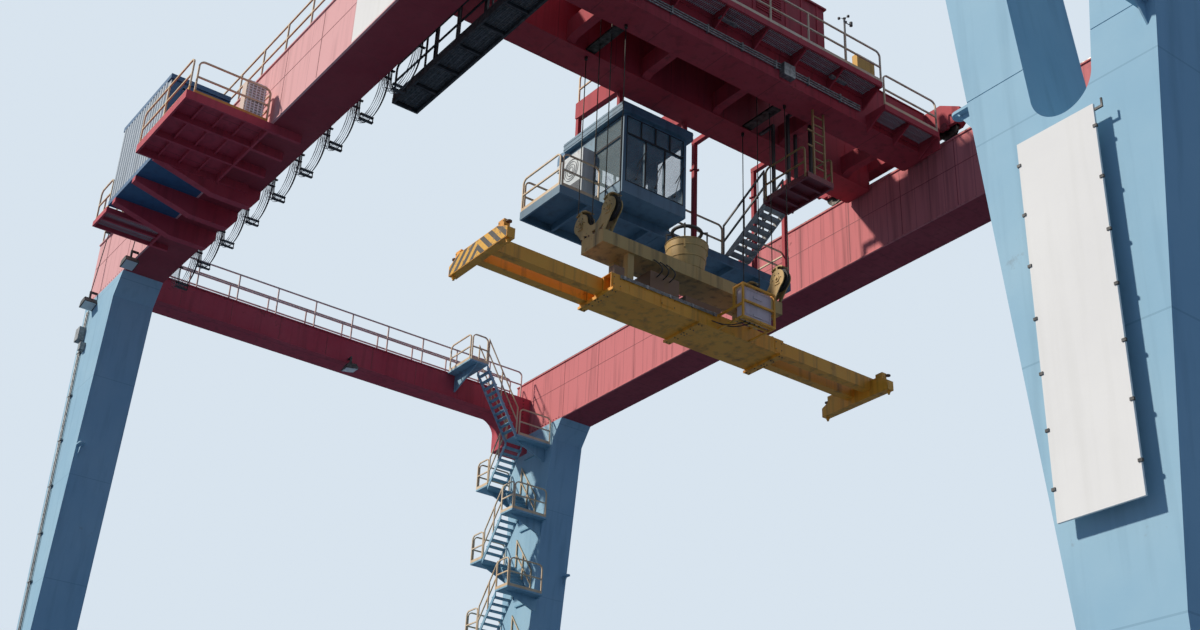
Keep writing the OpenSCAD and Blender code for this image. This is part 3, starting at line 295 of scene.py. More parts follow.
def agedPaint(name, colors, rustAmount=0.5, rough=0.5, seamPitch=0.0, seamAxis="X", streaks=0.5, grain=1.0,
              patches=(), seamDepth=0.55):
    # Topcoat on steel plate: chalky where the weather reaches it, streaks of dirt run down from the edges,
    # and rust breaks through in spots. seamPitch is the distance between the plates' butt welds in metres.
    paint, faded, dirt, rust = [hexColor(text) for text in colors]
    material, tree, place = newMaterial(name)
    # clouds about 2 m across take the paint towards its faded tone
    cloud = addNode(tree, "ShaderNodeTexNoise",
                    inputs={"Vector": place, "Scale": 0.45, "Detail": 6.0, "Roughness": 0.6})
    weather = addNode(tree, "ShaderNodeMapRange",
                      inputs={"Value": cloud.outputs["Fac"], "From Min": 0.35, "From Max": 0.7})
    color = addNode(tree, "ShaderNodeMix", colorMix, {0: weather.outputs[0], 6: paint, 7: faded})
    for patch, conditions in patches:
        mask = beyond(tree, place, conditions)
        color = addNode(tree, "ShaderNodeMix", colorMix, {0: mask, 6: color.outputs[2], 7: hexColor(patch)})
    # streaks some 0.2 m wide and 3.6 m long
    streakMask = uprightStreaks(tree, place, (5.0, 5.0, 0.28), 0.5, streaks)
    color = addNode(tree, "ShaderNodeMix", colorMix, {0: streakMask, 6: color.outputs[2], 7: dirt})
    # rust spots 20 to 200 mm across, gathered where the clouds are strong
    spots = addNode(tree, "ShaderNodeTexNoise",
                    inputs={"Vector": place, "Scale": 5.0, "Detail": 8.0, "Roughness": 0.7})
    region = addNode(tree, "ShaderNodeMath", {"operation": "MULTIPLY"},
                     {0: spots.outputs["Fac"], 1: cloud.outputs["Fac"]})
    rustMask = addNode(tree, "ShaderNodeMapRange", inputs={
        "Value": region.outputs[0], "From Min": 0.40 - 0.06 * rustAmount, "From Max": 0.46,
        "To Max": min(1.0, rustAmount * 1.4)})
    color = addNode(tree, "ShaderNodeMix", colorMix, {0: rustMask.outputs[0], 6: color.outputs[2], 7: rust})
    if seamPitch:  # dark lines 24 mm wide
        along = addNode(tree, "ShaderNodeSeparateXYZ", inputs={0: place}).outputs[seamAxis]
        turn = addNode(tree, "ShaderNodeMath", {"operation": "PINGPONG"}, {0: along, 1: seamPitch / 2})
        seam = addNode(tree, "ShaderNodeMath", {"operation": "LESS_THAN"}, {0: turn.outputs[0], 1: 0.012})
        soft = addNode(tree, "ShaderNodeMath", {"operation": "MULTIPLY"}, {0: seam.outputs[0], 1: seamDepth})
        color = addNode(tree, "ShaderNodeMix", colorMix, {0: soft.outputs[0], 6: color.outputs[2], 7: dirt})
    # brush marks 40 mm apart, and rust that has no gloss
    fine = addNode(tree, "ShaderNodeTexNoise", inputs={"Vector": place, "Scale": 26.0 * grain, "Detail": 4.0})
    gloss = addNode(tree, "ShaderNodeMapRange",
                    inputs={"Value": rustMask.outputs[0], "To Min": rough, "To Max": 0.9})
    closeMaterial(tree, color.outputs[2], gloss.outputs[0], (0.2, 0.003, fine.outputs["Fac"]), {"IOR": 1.5})
    return material


def wornMetal(name, light, dark, rough=0.45, scale=8.0, metallic=0.9):
    # Bare or galvanised steel: spangle and greasy stains as a slow noise between two greys.
    material, tree, place = newMaterial(name)
    cloud = addNode(tree, "ShaderNodeTexNoise", inputs={"Vector": place, "Scale": scale, "Detail": 6.0})
    stain = cloud.outputs["Fac"]
    spread = addNode(tree, "ShaderNodeMapRange", inputs={"Value": stain, "From Min": 0.35, "From Max": 0.68})
    color = addNode(tree, "ShaderNodeMix", colorMix,
                    {0: spread.outputs[0], 6: hexColor(dark), 7: hexColor(light)})
    gloss = addNode(tree, "ShaderNodeMapRange",
                    inputs={"Value": stain, "To Min": rough + 0.2, "To Max": rough - 0.1})
    closeMaterial(tree, color.outputs[2], gloss.outputs[0], (0.2, 0.004, stain), {"Metallic": metallic})
    return material


def dullPlastic(name, light, dark, rough):
    # Rubber or cable sheath: no shine, dust in a slow noise.
    material, tree, place = newMaterial(name)
    noise = addNode(tree, "ShaderNodeTexNoise", inputs={"Vector": place, "Scale": 6.0, "Detail": 5.0})
    dust = noise.outputs["Fac"]
    color = addNode(tree, "ShaderNodeMix", colorMix, {0: dust, 6: hexColor(dark), 7: hexColor(light)})
    closeMaterial(tree, color.outputs[2], rough, (0.15, 0.002, dust))
    return material


def windowGlass():
    # tinted laminated glass: mostly clear, with dust in slow clouds and a sharp reflection
    material, tree, place = newMaterial("tintedCabGlass")
    dust = addNode(tree, "ShaderNodeTexNoise", inputs={"Vector": place, "Scale": 1.2, "Detail": 2.0})
    haze = addNode(tree, "ShaderNodeMapRange",
                   inputs={"Value": dust.outputs["Fac"], "To Min": 0.12, "To Max": 0.24})
    closeMaterial(tree, hexColor("#A9BCBE"), 0.03, others={"IOR": 1.5, "Alpha": haze.outputs[0]})
    return material


def lampGlass():
    # pressed prismatic glass: ribs that break up the reflection
    material, tree, place = newMaterial("prismaticLampGlass")
    prisms = addNode(tree, "ShaderNodeTexWave", inputs={"Vector": place, "Scale": 18.0})
    closeMaterial(tree, hexColor("#C9D0D2"), 0.15, (0.4, 0.004, prisms.outputs["Fac"]), {"IOR": 1.5})
    return material


def houseSheet(paleZ=(25.151, 27.549), cabinetX=-9.8):
    # Coil-coated corrugated sheet: pale between dark blue trims. The ends and the trims are blue, by the way
    # that a face looks and by its height, and the cabinet past cabinetX is beige.
    material, tree, place = newMaterial("corrugatedHouseSheet")
    normal = addNode(tree, "ShaderNodeNewGeometry").outputs["Normal"]
    facing = addNode(tree, "ShaderNodeSeparateXYZ", inputs={0: normal}).outputs["Y"]
    side = addNode(tree, "ShaderNodeMath", {"operation": "ABSOLUTE"}, {0: facing})
    wall = addNode(tree, "ShaderNodeMath", {"operation": "GREATER_THAN"}, {0: side.outputs[0], 1: 0.4})
    between = beyond(tree, place, [((0, 0, 1), paleZ[0]), ((0, 0, -1), -paleZ[1])])
    pale = addNode(tree, "ShaderNodeMath", {"operation": "MULTIPLY"}, {0: wall.outputs[0], 1: between})
    stain = uprightStreaks(tree, place, (6.0, 6.0, 0.4), 0.45, 0.5)
    sheet = addNode(tree, "ShaderNodeMix", colorMix,
                    {0: stain, 6: hexColor("#AEB8C0"), 7: hexColor("#6C7478")})
    blue = addNode(tree, "ShaderNodeMix", colorMix,
                   {0: stain, 6: hexColor("#2E5C82"), 7: hexColor("#1E3A50")})
    color = addNode(tree, "ShaderNodeMix", colorMix,
                    {0: pale.outputs[0], 6: blue.outputs[2], 7: sheet.outputs[2]})
    mask = beyond(tree, place, [((1, 0, 0), cabinetX)])
    color = addNode(tree, "ShaderNodeMix", colorMix, {0: mask, 6: color.outputs[2], 7: hexColor("#C9B7A8")})
    fine = addNode(tree, "ShaderNodeTexNoise", inputs={"Vector": place, "Scale": 30.0})
    closeMaterial(tree, color.outputs[2], 0.5, (0.15, 0.005, fine.outputs["Fac"]))
    return material


def chevronPaint(band=0.085):
    # Yellow enamel with black diagonal bands, laid on |x| + z so that they meet in the middle, 120 mm wide
    # across the slant, and chipped.
    material, tree, place = newMaterial("chevronEnamel")
    parts = addNode(tree, "ShaderNodeSeparateXYZ", inputs={0: place})
    centred = addNode(tree, "ShaderNodeMath", {"operation": "ADD"}, {0: parts.outputs["X"], 1: -trolleyX})
    across = addNode(tree, "ShaderNodeMath", {"operation": "ABSOLUTE"}, {0: centred.outputs[0]})
    slant = addNode(tree, "ShaderNodeMath", {"operation": "ADD"},
                    {0: across.outputs[0], 1: parts.outputs["Z"]})
    turn = addNode(tree, "ShaderNodeMath", {"operation": "PINGPONG"}, {0: slant.outputs[0], 1: 2 * band})
    black = addNode(tree, "ShaderNodeMath", {"operation": "GREATER_THAN"}, {0: turn.outputs[0], 1: band})
    wear = addNode(tree, "ShaderNodeTexNoise",
                   inputs={"Vector": place, "Scale": 7.0, "Detail": 8.0, "Roughness": 0.7})
    chip = addNode(tree, "ShaderNodeMapRange",
                   inputs={"Value": wear.outputs["Fac"], "From Min": 0.55, "From Max": 0.62}).outputs[0]
    striped = addNode(tree, "ShaderNodeMix", colorMix,
                      {0: black.outputs[0], 6: hexColor("#D9A01E"), 7: hexColor("#2A2723")})
    color = addNode(tree, "ShaderNodeMix", colorMix, {0: chip, 6: striped.outputs[2], 7: hexColor("#5F4A30")})
    closeMaterial(tree, color.outputs[2], 0.55, (0.3, 0.004, chip))
    return material


# Weathered alkyd enamels on blasted plate, each with its fresh, faded, dirty and rusty colour. A patch is a
# colour past the limits given along its directions: the pale patches on the girders' sides that face the sun
# are partly faded paint and partly painted sunlit sheen.
girderReds = ("#922C3A", "#A04048")
crimsonEnamel = agedPaint("crimsonEnamel", ("#B23446", "#BC4A56", "#5A2026", "#5A2C1E"),
                          rustAmount=0.45, rough=0.75, seamPitch=2.4)
# the outer side's pale pink patch is partly sun-faded paint and partly painted sunlit sheen
frontCrimson = agedPaint("fadedCrimsonWithPaintedSheen", (*girderReds, "#6A3034", "#7A3E30"),
                         rustAmount=0.3, rough=0.8, seamPitch=2.4, streaks=0.35, seamDepth=0.3,
                         patches=[("#DCA4A4", [((0, -1, 0), 8.93)])])
# the inner side's pale patch is partly sun-faded paint and partly painted sunlit sheen
rearCrimson = agedPaint("ribbedCrimsonEnamel", (*girderReds, "#4B1A1E", "#5A2C1E"),
                        rustAmount=0.45, rough=0.8, seamPitch=0.55, seamDepth=0.3,
                        patches=[("#CC7476", [((0, -1, 0), -7.75)])])
crimsonTrolley = agedPaint("crimsonTrolleyEnamel", ("#A42C38", "#B04048", "#4E1A20", "#5C2D1F"),
                           rustAmount=0.6, rough=0.75, seamPitch=1.9, seamAxis="Y")
# patches behind the machinery house: the mast is grey, and what is past it and under 30 m is amber
roomCrimson = agedPaint("crimsonRoomEnamel", ("#982A36", "#A43E46", "#4A191E", "#5C2D1F"),
                        rustAmount=0.6, rough=0.75,
                        patches=[("#6E6E6C", [((0, 1, 0), 4.7)]),
                                 ("#D8AA58", [((0, 1, 0), 5.1), ((0, 0, -1), -30.0)])])
seamPaintRed = agedPaint("crimsonWeld", ("#7C2A31", "#8E3A40", "#40161A", "#5A2C1E"), rough=0.55)
skyEnamel = agedPaint("skyBlueEnamel", ("#8EB6CC", "#9CC0D2", "#5A7E94", "#6D5A4A"),
                      rustAmount=0.2, rough=0.85, seamPitch=3.1, seamAxis="Z", streaks=0.3, seamDepth=0.3)
stairEnamel = agedPaint("stairBlueEnamel", ("#6C9DB6", "#8FB6C6", "#40606F", "#6A4632"))
cabEnamel = agedPaint("slateBlueEnamel", ("#4A6B80", "#5F8296", "#25343E", "#5A4334"),
                      rustAmount=0.4, rough=0.45)
# the cooler's top is blue
coolerEnamel = agedPaint("paleCoolerEnamel", ("#B9C4C8", "#CDD5D7", "#6E787C", "#7A5A44"),
                         rustAmount=0.4, rough=0.45, patches=[("#4A7A9C", [((0, 0, 1), 25.705)])])
# grease and rope dirt darken the spreader's machinery and the basket's rim
ochres = ("#EA981E", "#EEAA38", "#72501C", "#5F3F22")
ochreEnamel = agedPaint("ochreEnamel", ochres, rustAmount=0.9, streaks=0.8)
spreaderOchre = agedPaint("ochreSpreaderEnamel", ochres, rustAmount=0.9, streaks=0.8,
                          patches=[("#6B4A2E", [((0, 0, 1), 19.868), ((-1, 0, 0), -0.45)])])
khakis = ("#B89454", "#C8A86C", "#423820", "#5B4127")
khakiEnamel = agedPaint("greasyKhakiEnamel", khakis, rustAmount=1.2, rough=0.6, streaks=0.9)
basketKhaki = agedPaint("basketKhakiEnamel", khakis, rustAmount=0.9, rough=0.55, streaks=0.7,
                        patches=[("#33312D", [((0, 0, 1), 21.93)])])
# guard rails: thin tubes rust more, and the deck's toe boards are a stronger orange
railEnamel = agedPaint("orangeRailEnamel", ("#CDAE84", "#DCCBB0", "#80603C", "#8A4E24"),
                       rustAmount=1.1, grain=2.0)
deckRail = agedPaint("orangeDeckRailEnamel", ("#D0AA78", "#DCCBB0", "#80603C", "#8A4E24"), rustAmount=1.0,
                     grain=2.0, patches=[("#CC8A38", [((0, 0, -1), -25.12)])])
fadedRailEnamel = agedPaint("fadedRailEnamel", ("#C9A99C", "#D8C2B8", "#8A6A60", "#84503A"),
                            rustAmount=0.7, rough=0.55)
boxEnamel = agedPaint("pinkGreyEnamel", ("#C6AEAE", "#D6C6C4", "#7A6462", "#7A4A38"), rustAmount=0.4)
boardEnamel = agedPaint("boardWhiteEnamel", ("#E0E0DE", "#E8E8E5", "#B9B8B0", "#A08A70"),
                        rustAmount=0.1, rough=0.85, streaks=0.2)
rustySteel = agedPaint("rustySteel", ("#5B4634", "#735640", "#2B221B", "#6F3F22"), rustAmount=1.3, rough=0.7)
# stair and platform under the beams: bare treads and posts, a crimson deck frame and tan guard rails
railTan = "#A07C4A"
stairPatches = [
    ("#7A2A30", [((1, 0, 0), -0.955), ((0, 0, -1), -24.905)]),
    ("#2E2A2A", [((1, 0, 0), -0.955), ((0, 0, 1), 24.905)]),
    (railTan, [((0, 0, 1), 24.76), ((0, -1, 0), -3.1999)]),
    (railTan, [((0, 0, 1), 24.76), ((0, 1, 0), 4.1501)]),
    (railTan, [((0, 0, 1), 24.905), ((1, 0, 0), 0.775)]),
    ("#55504C", [((-0.5743, 0, 1), 25.457), ((-1, 0, 0), 0.955)]),
]
stairMetal = agedPaint("platformStairEnamel", ("#8E8F8E", "#A5A6A4", "#454340", "#6A4632"),
                       rustAmount=0.7, patches=stairPatches)

# bare metals: forged, rolled, drawn, hot-dip galvanised and die-cast; then rubber, cable sheath and glass
wheelSteel = wornMetal("forgedWheelSteel", "#5E5A55", "#2F2C29", 0.5)
railSteel = wornMetal("rolledRailSteel", "#7A7672", "#4C4540", 0.4)
ropeWire = wornMetal("greasedRopeWire", "#4A4742", "#1E1C1A", 0.45, 60.0, 0.8)
galvanizedSteel = wornMetal("galvanizedSteel", "#9A9C9C", "#6F7273", 0.5, 14.0, 0.7)
# the grating's zinc is paler than galvanised grey: partly its own colour, partly painted light so that the
# bars look bright in shade
paleZincWithPaintedLight = wornMetal("paleZincWithPaintedLight", "#D4D6D6", "#B4B6B6", 0.6, 14.0, 0.2)
darkCasting = wornMetal("diecastAluminium", "#4C4C4C", "#2C2C2D", 0.55, 10.0, 0.4)
blackRubber = dullPlastic("blackRubber", "#2E2E2F", "#151515", 0.7)
greyCable = dullPlastic("greyCableSheath", "#8C9094", "#54585C", 0.6)
cabGlass = windowGlass()
lensGlass = lampGlass()
houseMaterial = houseSheet()
chevronMaterial = chevronPaint()

nodeMaterials = {
    "front_girder": frontCrimson, "rear_girder": rearCrimson, "near_tie_beam": crimsonEnamel,
    "far_tie_beam": crimsonEnamel, "near_front_leg": skyEnamel, "near_rear_leg": skyEnamel,
    "far_front_leg": skyEnamel, "far_rear_leg": skyEnamel, "sill_beams": skyEnamel, "bogies": skyEnamel,
    "ground_wheels": wheelSteel, "trolley_rails": railSteel, "girder_railings": railEnamel,
    "tie_railings": fadedRailEnamel, "electrical_house": houseMaterial, "house_deck": crimsonEnamel,
    "house_railings": deckRail, "festoon_rail": galvanizedSteel, "festoon_cables": blackRubber,
    "leg_stairs": stairEnamel, "stair_railings": railEnamel, "leg_board": boardEnamel,
    "floodlights": darkCasting, "trolley_beams": crimsonTrolley, "end_carriages": crimsonTrolley,
    "trolley_wheels": wheelSteel, "machinery_house": roomCrimson, "trolley_decks": crimsonTrolley,
    "trolley_railings": railEnamel, "festoon_tray": darkCasting, "cab_shell": cabEnamel,
    "cab_windows": cabGlass, "cab_hangers": crimsonTrolley, "cab_walkway": cabEnamel,
    "cab_railings": railEnamel, "air_conditioner": coolerEnamel, "access_stair": stairMetal,
    "rope_anchors": wheelSteel, "hoist_ropes": ropeWire, "headblock": khakiEnamel,
    "headblock_sheaves": blackRubber, "cable_basket": basketKhaki, "spreader_frame": spreaderOchre,
    "junction_box": boxEnamel, "front_arms": ochreEnamel, "rear_arms": ochreEnamel,
}
for nodeName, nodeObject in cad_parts.items():
    if not nodeObject.material_slots:
        nodeObject.data.materials.append(nodeMaterials[nodeName])
    for materialSlot in nodeObject.material_slots:
        materialSlot.material = nodeMaterials[nodeName]
print("stage: materials")

weldSettings = {"webX": (-18.9, 19.0), "pitch": 2.1, "width": 0.016, "proud": 0.006, "webZ": (25.04, 27.26),
                "seamX": 19.9, "seamZ": (26.35, 26.362), "tieHalf": 0.43, "tieY": (-6.3, 6.0),
                "tiePitch": 1.8, "tieWidth": 0.014, "tieZ": (25.55, 26.4)}


def girderWelds(s):
    # upright beads and one lengthwise bead on each web, and the upright seams of the tie beams
    x = np.arange(*s["webX"], s["pitch"])
    half = s["width"] / 2
    parts = []
    for side in (-1, 1):
        for web, outward in girderWebs:
            y0, y1 = plateSides(side * web, side * outward * s["proud"])
            parts.append(boxes(points(x - half, y0, s["webZ"][0]), points(x + half, y1, s["webZ"][1])))
            parts.append(boxes([-s["seamX"], y0, s["seamZ"][0]], [s["seamX"], y1, s["seamZ"][1]]))
    y = np.arange(*s["tieY"], s["tiePitch"])
    for beam in (-tieX, tieX):
        for way in (-1, 1):
            x0, x1 = plateSides(beam + way * s["tieHalf"], way * s["proud"])
            parts.append(boxes(points(x0, y, s["tieZ"][0]), points(x1, y + s["tieWidth"], s["tieZ"][1])))
    return parts


addPiece("girderWelds", girderWelds(weldSettings), seamPaintRed, "root")

boltSettings = {"radius": 0.028, "height": 0.022, "tieFace": 0.431, "tieY": (-7.55, -7.42, 6.75, 6.9, 7.4),
                "tieZ": (25.62, 26.35), "tiePitch": 0.14, "legX": ((-19.75, -17.0), (14.95, 19.75)),
                "legZ": 25.09, "legPitch": 0.17}


def girderBolts(s):
    # rows of hexagon heads where the tie beams and the legs meet the girders
    head = (s["radius"], s["height"])
    z = np.arange(*s["tieZ"], s["tiePitch"])
    parts = [discs(grid([beam + way * s["tieFace"]], s["tieY"], z), (way, 0, 0), *head)
             for beam in (-tieX, tieX) for way in (-1, 1)]
    for side in (-1, 1):
        for ends in s["legX"]:
            x = np.arange(*ends, s["legPitch"])
            parts += [discs(points(x, side * web, s["legZ"]), (0, side * outward, 0), *head)
                      for web, outward in girderWebs]
    return parts


addPiece("girderBolts", girderBolts(boltSettings), seamPaintRed, "root")

boardSettings = {"x": (16.86, 17.92), "z": (7.35, 11.97), "front": -9.18, "clipPitch": 0.66,
                 "clip": (0.05, 0.03, 0.035), "hookReach": 0.11, "hookBar": 0.02,
                 "hookZ": (-0.09, -0.06, 0.03)}


def boardClips(s):
    # clips along both sides of the board, and a hook beside its top right corner
    (x0, x1), (z0, z1), front = s["x"], s["z"], s["front"]
    clipZ = np.arange(z0 + 0.35, z1 - 0.2, s["clipPitch"])
    parts = [blocks(x, front - 0.012, clipZ, s["clip"]) for x in (x0 - 0.02, x1 - 0.03)]
    hookX = x1 + s["hookReach"]
    low, middle, high = [z1 + z for z in s["hookZ"]]
    parts.append(boxes([x1, front + 0.01, low], [hookX, front + 0.03, middle]))
    parts.append(boxes([hookX - s["hookBar"], front + 0.01, middle], [hookX, front + 0.03, high]))
    return parts


addPiece("boardClips", boardClips(boardSettings), darkCasting, "root")

# the white panel on the front girder, bare; its far end is out of the photo's frame
panelSettings = {"low": (-2.35, -8.96, 25.06), "high": (3.85, -8.956, 27.24)}
panel = [boxes(panelSettings["low"], panelSettings["high"])]
addPiece("girderPanel", panel, boardEnamel, "root")

conduitSettings = {"x": -19.55, "y": -9.03, "z": (24.6, 3.2), "radius": 0.032, "gap": 0.12, "thinner": 0.7,
                   "clampZ": (3.6, 24.5), "clampPitch": 1.5, "clamp": (0.28, 0.08, 0.04),
                   "boxes": (((-19.75, -9.2, 23.55), (-19.4, -8.99, 24.0)),
                             ((-19.3, -9.16, 23.1), (-19.1, -8.99, 23.35)))}


def conduits(s):
    # two pipes down the far front leg with their clamps, and a switch box and a socket at the top
    z = np.linspace(*s["z"], 40)
    parts = [tube(points(s["x"], s["y"], z), s["radius"]),
             tube(points(s["x"] + s["gap"], s["y"], z), s["radius"] * s["thinner"])]
    clampZ = np.arange(*s["clampZ"], s["clampPitch"])
    parts.append(blocks(s["x"] - 0.07, s["y"] - 0.04, clampZ, s["clamp"]))
    return parts + [boxes(low, high) for low, high in s["boxes"]]


addPiece("conduits", conduits(conduitSettings), galvanizedSteel, "root")

houseSettings = {"endX": -9.95, "doorY": (-10.35, -9.55), "doorZ": (25.2, 27.3), "frame": 0.05, "sunk": 0.04,
                 "proud": 0.02, "louvres": 9, "louvreZ": 25.4, "louvrePitch": 0.06, "louvreMargin": 0.15,
                 "handleZ": (26.1, 26.25), "glandY": (-9.4, -9.15), "glandZ": (26.4, 26.9)}


def houseDoor(s):
    # end door with frame, handle and louvres, and the plate of the cable glands beside it
    x, (y0, y1), (z0, z1), edge = s["endX"], s["doorY"], s["doorZ"], s["frame"]
    back, front = x - s["sunk"], x + s["proud"]
    margin = s["louvreMargin"]
    louvreZ = s["louvreZ"] + s["louvrePitch"] * np.arange(s["louvres"])
    return [boxes([back, y0, z0], [x, y1, z1]),
            boxes([back, y0 - edge, z0], [front, y0, z1 + edge]),
            boxes([back, y1, z0], [front, y1 + edge, z1 + edge]),
            boxes([back, y0 - edge, z1], [front, y1 + edge, z1 + edge]),
            boxes([x, y0 + 0.08, s["handleZ"][0]], [x + 0.05, y0 + 0.12, s["handleZ"][1]]),
            boxes(points(x - 0.01, y0 + margin, louvreZ), points(front, y1 - margin, louvreZ + 0.03)),
            boxes([back, s["glandY"][0], s["glandZ"][0]], [x + 0.03, s["glandY"][1], s["glandZ"][1]])]


addPiece("houseDoor", houseDoor(houseSettings), houseMaterial, "root")

latticeSettings = {"x": -6.67, "y": (-9.77, -9.22), "z": (25.08, 26.1), "bar": 0.03, "rowPitch": 0.08,
                   "columnPitch": 0.11}


def cabinetLattice(s):
    # level strips behind upright ones on the cabinet's door
    (y0, y1), (z0, z1), bar = s["y"], s["z"], s["bar"]
    rows = blocks(s["x"], y0, np.arange(z0 + 0.02, z1, s["rowPitch"]), (0.005, y1 - y0, bar))
    columns = blocks(s["x"], np.arange(y0 + bar, y1 - 0.02, s["columnPitch"]), z0, (0.01, bar, z1 - z0))
    return [rows, columns]


addPiece("cabinetLattice", cabinetLattice(latticeSettings), boardEnamel, "root")


def grating(x, y, z, barAxis="X", pitch=0.06, rodPitch=0.2, depth=0.02, width=0.012):
    # Bar grating seen from below: flat bars along one axis and shallower rods across them. Real bars are 30 mm
    # apart; these are drawn at 50 or 60 mm, so that they show.
    (x0, x1), (y0, y1), low = x, y, z - depth
    if barAxis == "X":
        return [blocks(x0, np.arange(y0 + 0.02, y1, pitch), low, (x1 - x0, width, depth)),
                blocks(np.arange(x0 + 0.05, x1, rodPitch), y0, low, (width, y1 - y0, depth * 0.6))]
    return [blocks(np.arange(x0 + 0.02, x1, pitch), y0, low, (width, y1 - y0, depth)),
            blocks(x0, np.arange(y0 + 0.05, y1, rodPitch), low, (x1 - x0, width, depth * 0.6))]


# the gratings lie against the undersides of the floor plates: x, y and z of each
gratingSettings = {
    "walk": ((1.65 + trolleyX, 2.29 + trolleyX), (-5.94, 5.04), 28.06),
    "low": ((1.65 + trolleyX, 2.29 + trolleyX), (5.22, 7.24), 27.36),
    "tray": ((-2.99 + trolleyX, 2.99 + trolleyX), (-7.09, -6.46), 24.86),
    "side": ((-14.54, -13.56), (-10.73, -9.05), 24.97),
}
walkways = grating(*gratingSettings["walk"]) + grating(*gratingSettings["low"])
addPiece("walkwayGratings", walkways, paleZincWithPaintedLight, "trolley")
trayParts = grating(*gratingSettings["tray"], "Y", 0.05, 0.15)
addPiece("trayGrating", trayParts, galvanizedSteel, "trolley")
addPiece("sideWalkwayGrating", grating(*gratingSettings["side"]), paleZincWithPaintedLight, "root")

beamSettings = {"faces": ((-2.0, -1), (-1.1, 1), (0.3, -1), (1.2, 1)), "height": 1.5, "seamY": (-6.65, 7.0),
                "pitch": 1.9, "seam": (0.006, 0.014, 1.44), "lip": 0.035, "lipY": 7.6, "lipHeight": 0.03}


def beamFlanges(s):
    # butt welds on the cross beams' webs, and the lips of their flange plates
    parts = []
    for x, outward in s["faces"]:
        low = plateSides(x, outward * s["seam"][0])[0]
        parts.append(blocks(low, np.arange(*s["seamY"], s["pitch"]), beamZ + 0.03, s["seam"]))
        x0, x1 = plateSides(x, outward * s["lip"])
        for z in (beamZ, beamZ + s["height"] - s["lipHeight"]):
            parts.append(boxes([x0, -s["lipY"], z], [x1, s["lipY"], z + s["lipHeight"]]))
    return parts


addPiece("beamFlanges", beamFlanges(beamSettings), crimsonTrolley, "trolley")

roomSettings = {"x": (-1.9, 1.25), "y": (-3.6, 3.6), "z": (28.55, 30.29), "ribPitch": 0.6, "ribDepth": 0.025,
                "ribWidth": 0.05, "proud": 0.03, "louvreY": (1.05, 1.95), "louvreZ": 29.1,
                "louvrePitch": 0.08, "louvres": 10, "doorY": (-2.2, -1.4), "doorZ": (28.6, 30.15)}


def machineryHouseRibs(s):
    # pressed ribs on all four walls, and louvres and a door on the wall that looks to the near end
    (x0, x1), (y0, y1), (z0, z1) = s["x"], s["y"], s["z"]
    depth, width, front = s["ribDepth"], s["ribWidth"], x1 + s["proud"]
    y = np.arange(y0 + s["ribPitch"] / 2, y1, s["ribPitch"])
    x = np.arange(x0 + s["ribPitch"] / 2, x1, s["ribPitch"])
    parts = [blocks(wall, y, z0, (depth, width, z1 - z0)) for wall in (x0 - depth, x1)]
    parts += [blocks(x, wall, z0, (width, depth, z1 - z0)) for wall in (y0 - depth, y1)]
    z = s["louvreZ"] + s["louvrePitch"] * np.arange(s["louvres"])
    parts.append(boxes(points(x1, s["louvreY"][0], z), points(front, s["louvreY"][1], z + 0.04)))
    parts.append(boxes([x1, s["doorY"][0], s["doorZ"][0]], [front, s["doorY"][1], s["doorZ"][1]]))
    return parts


addPiece("machineryHouseRibs", machineryHouseRibs(roomSettings), crimsonTrolley, "trolley")

capSettings = {"axleX": 2.3, "axleZ": 27.7353, "y": 7.84, "halfWidth": 0.2, "radius": 0.13, "depth": 0.03,
               "boltRing": 0.1, "boltAngles": (0, 6.2, 1.047), "ribX": (-1.6, 1.7, 0.8), "rib": 0.012,
               "ribZ": (27.74, 28.5)}


def carriageCaps(s):
    # axle caps with six bolts on both sides of the carriages, and the stiffeners between them
    parts = []
    ribX = np.arange(*s["ribX"]) + trolleyX
    for side in (-1, 1):
        for face in (-1, 1):
            y = side * s["y"] + face * s["halfWidth"]
            for x in (trolleyX - s["axleX"], trolleyX + s["axleX"]):
                parts.append(discs((x, y, s["axleZ"]), (0, face, 0), s["radius"], s["depth"], 24))
                top = (x, y + face * s["depth"], s["axleZ"])
                ring = circle(top, s["boltRing"], np.arange(*s["boltAngles"]))
                parts.append(discs(ring, (0, face, 0), 0.014, 0.012))
            y0, y1 = plateSides(y, face * s["rib"])
            parts.append(boxes(points(ribX, y0, s["ribZ"][0]), points(ribX + s["rib"], y1, s["ribZ"][1])))
    return parts


addPiece("carriageCaps", carriageCaps(capSettings), crimsonTrolley, "trolley")

pipeSettings = {"face": 1.2, "y": (-5.8, 4.9), "z": (27.42, 27.5, 27.58), "radius": 0.022,
                "clampY": (-5.5, 4.9, 1.2), "clampZ": 27.37, "clamp": (0.08, 0.05, 0.26),
                "boxes": (((1.2, 1.9, 27.2), (1.4, 2.3, 27.6)), ((1.2, -3.4, 27.25), (1.38, -3.0, 27.65))),
                "lampY": (-4.5, -0.5, 3.5), "lampX": 1.45, "lampZ": 27.78, "lamp": (0.12, 0.6, 0.06)}


def beamPipes(s):
    # pipes with clamps on the second beam's outer face, two boxes, and tube lamps on short stems
    y = np.linspace(*s["y"], 30)
    parts = [tube(points(s["face"] + 0.05, y, z), s["radius"]) for z in s["z"]]
    parts.append(blocks(s["face"], np.arange(*s["clampY"]), s["clampZ"], s["clamp"]))
    parts += [boxes(low, high) for low, high in s["boxes"]]
    lampY = np.array(s["lampY"])
    parts.append(blocks(s["lampX"], lampY, s["lampZ"], s["lamp"]))
    parts.append(blocks(s["lampX"] + 0.05, lampY + 0.3, s["lampZ"] + s["lamp"][2], (0.02, 0.02, 0.09)))
    return parts


addPiece("beamPipes", beamPipes(pipeSettings), galvanizedSteel, "trolley")

mastSettings = {"top": (0.9, 4.8, 30.85), "arm": 0.16, "cups": 3, "cup": 0.04, "lampY": 0.27, "lamp": 0.05}


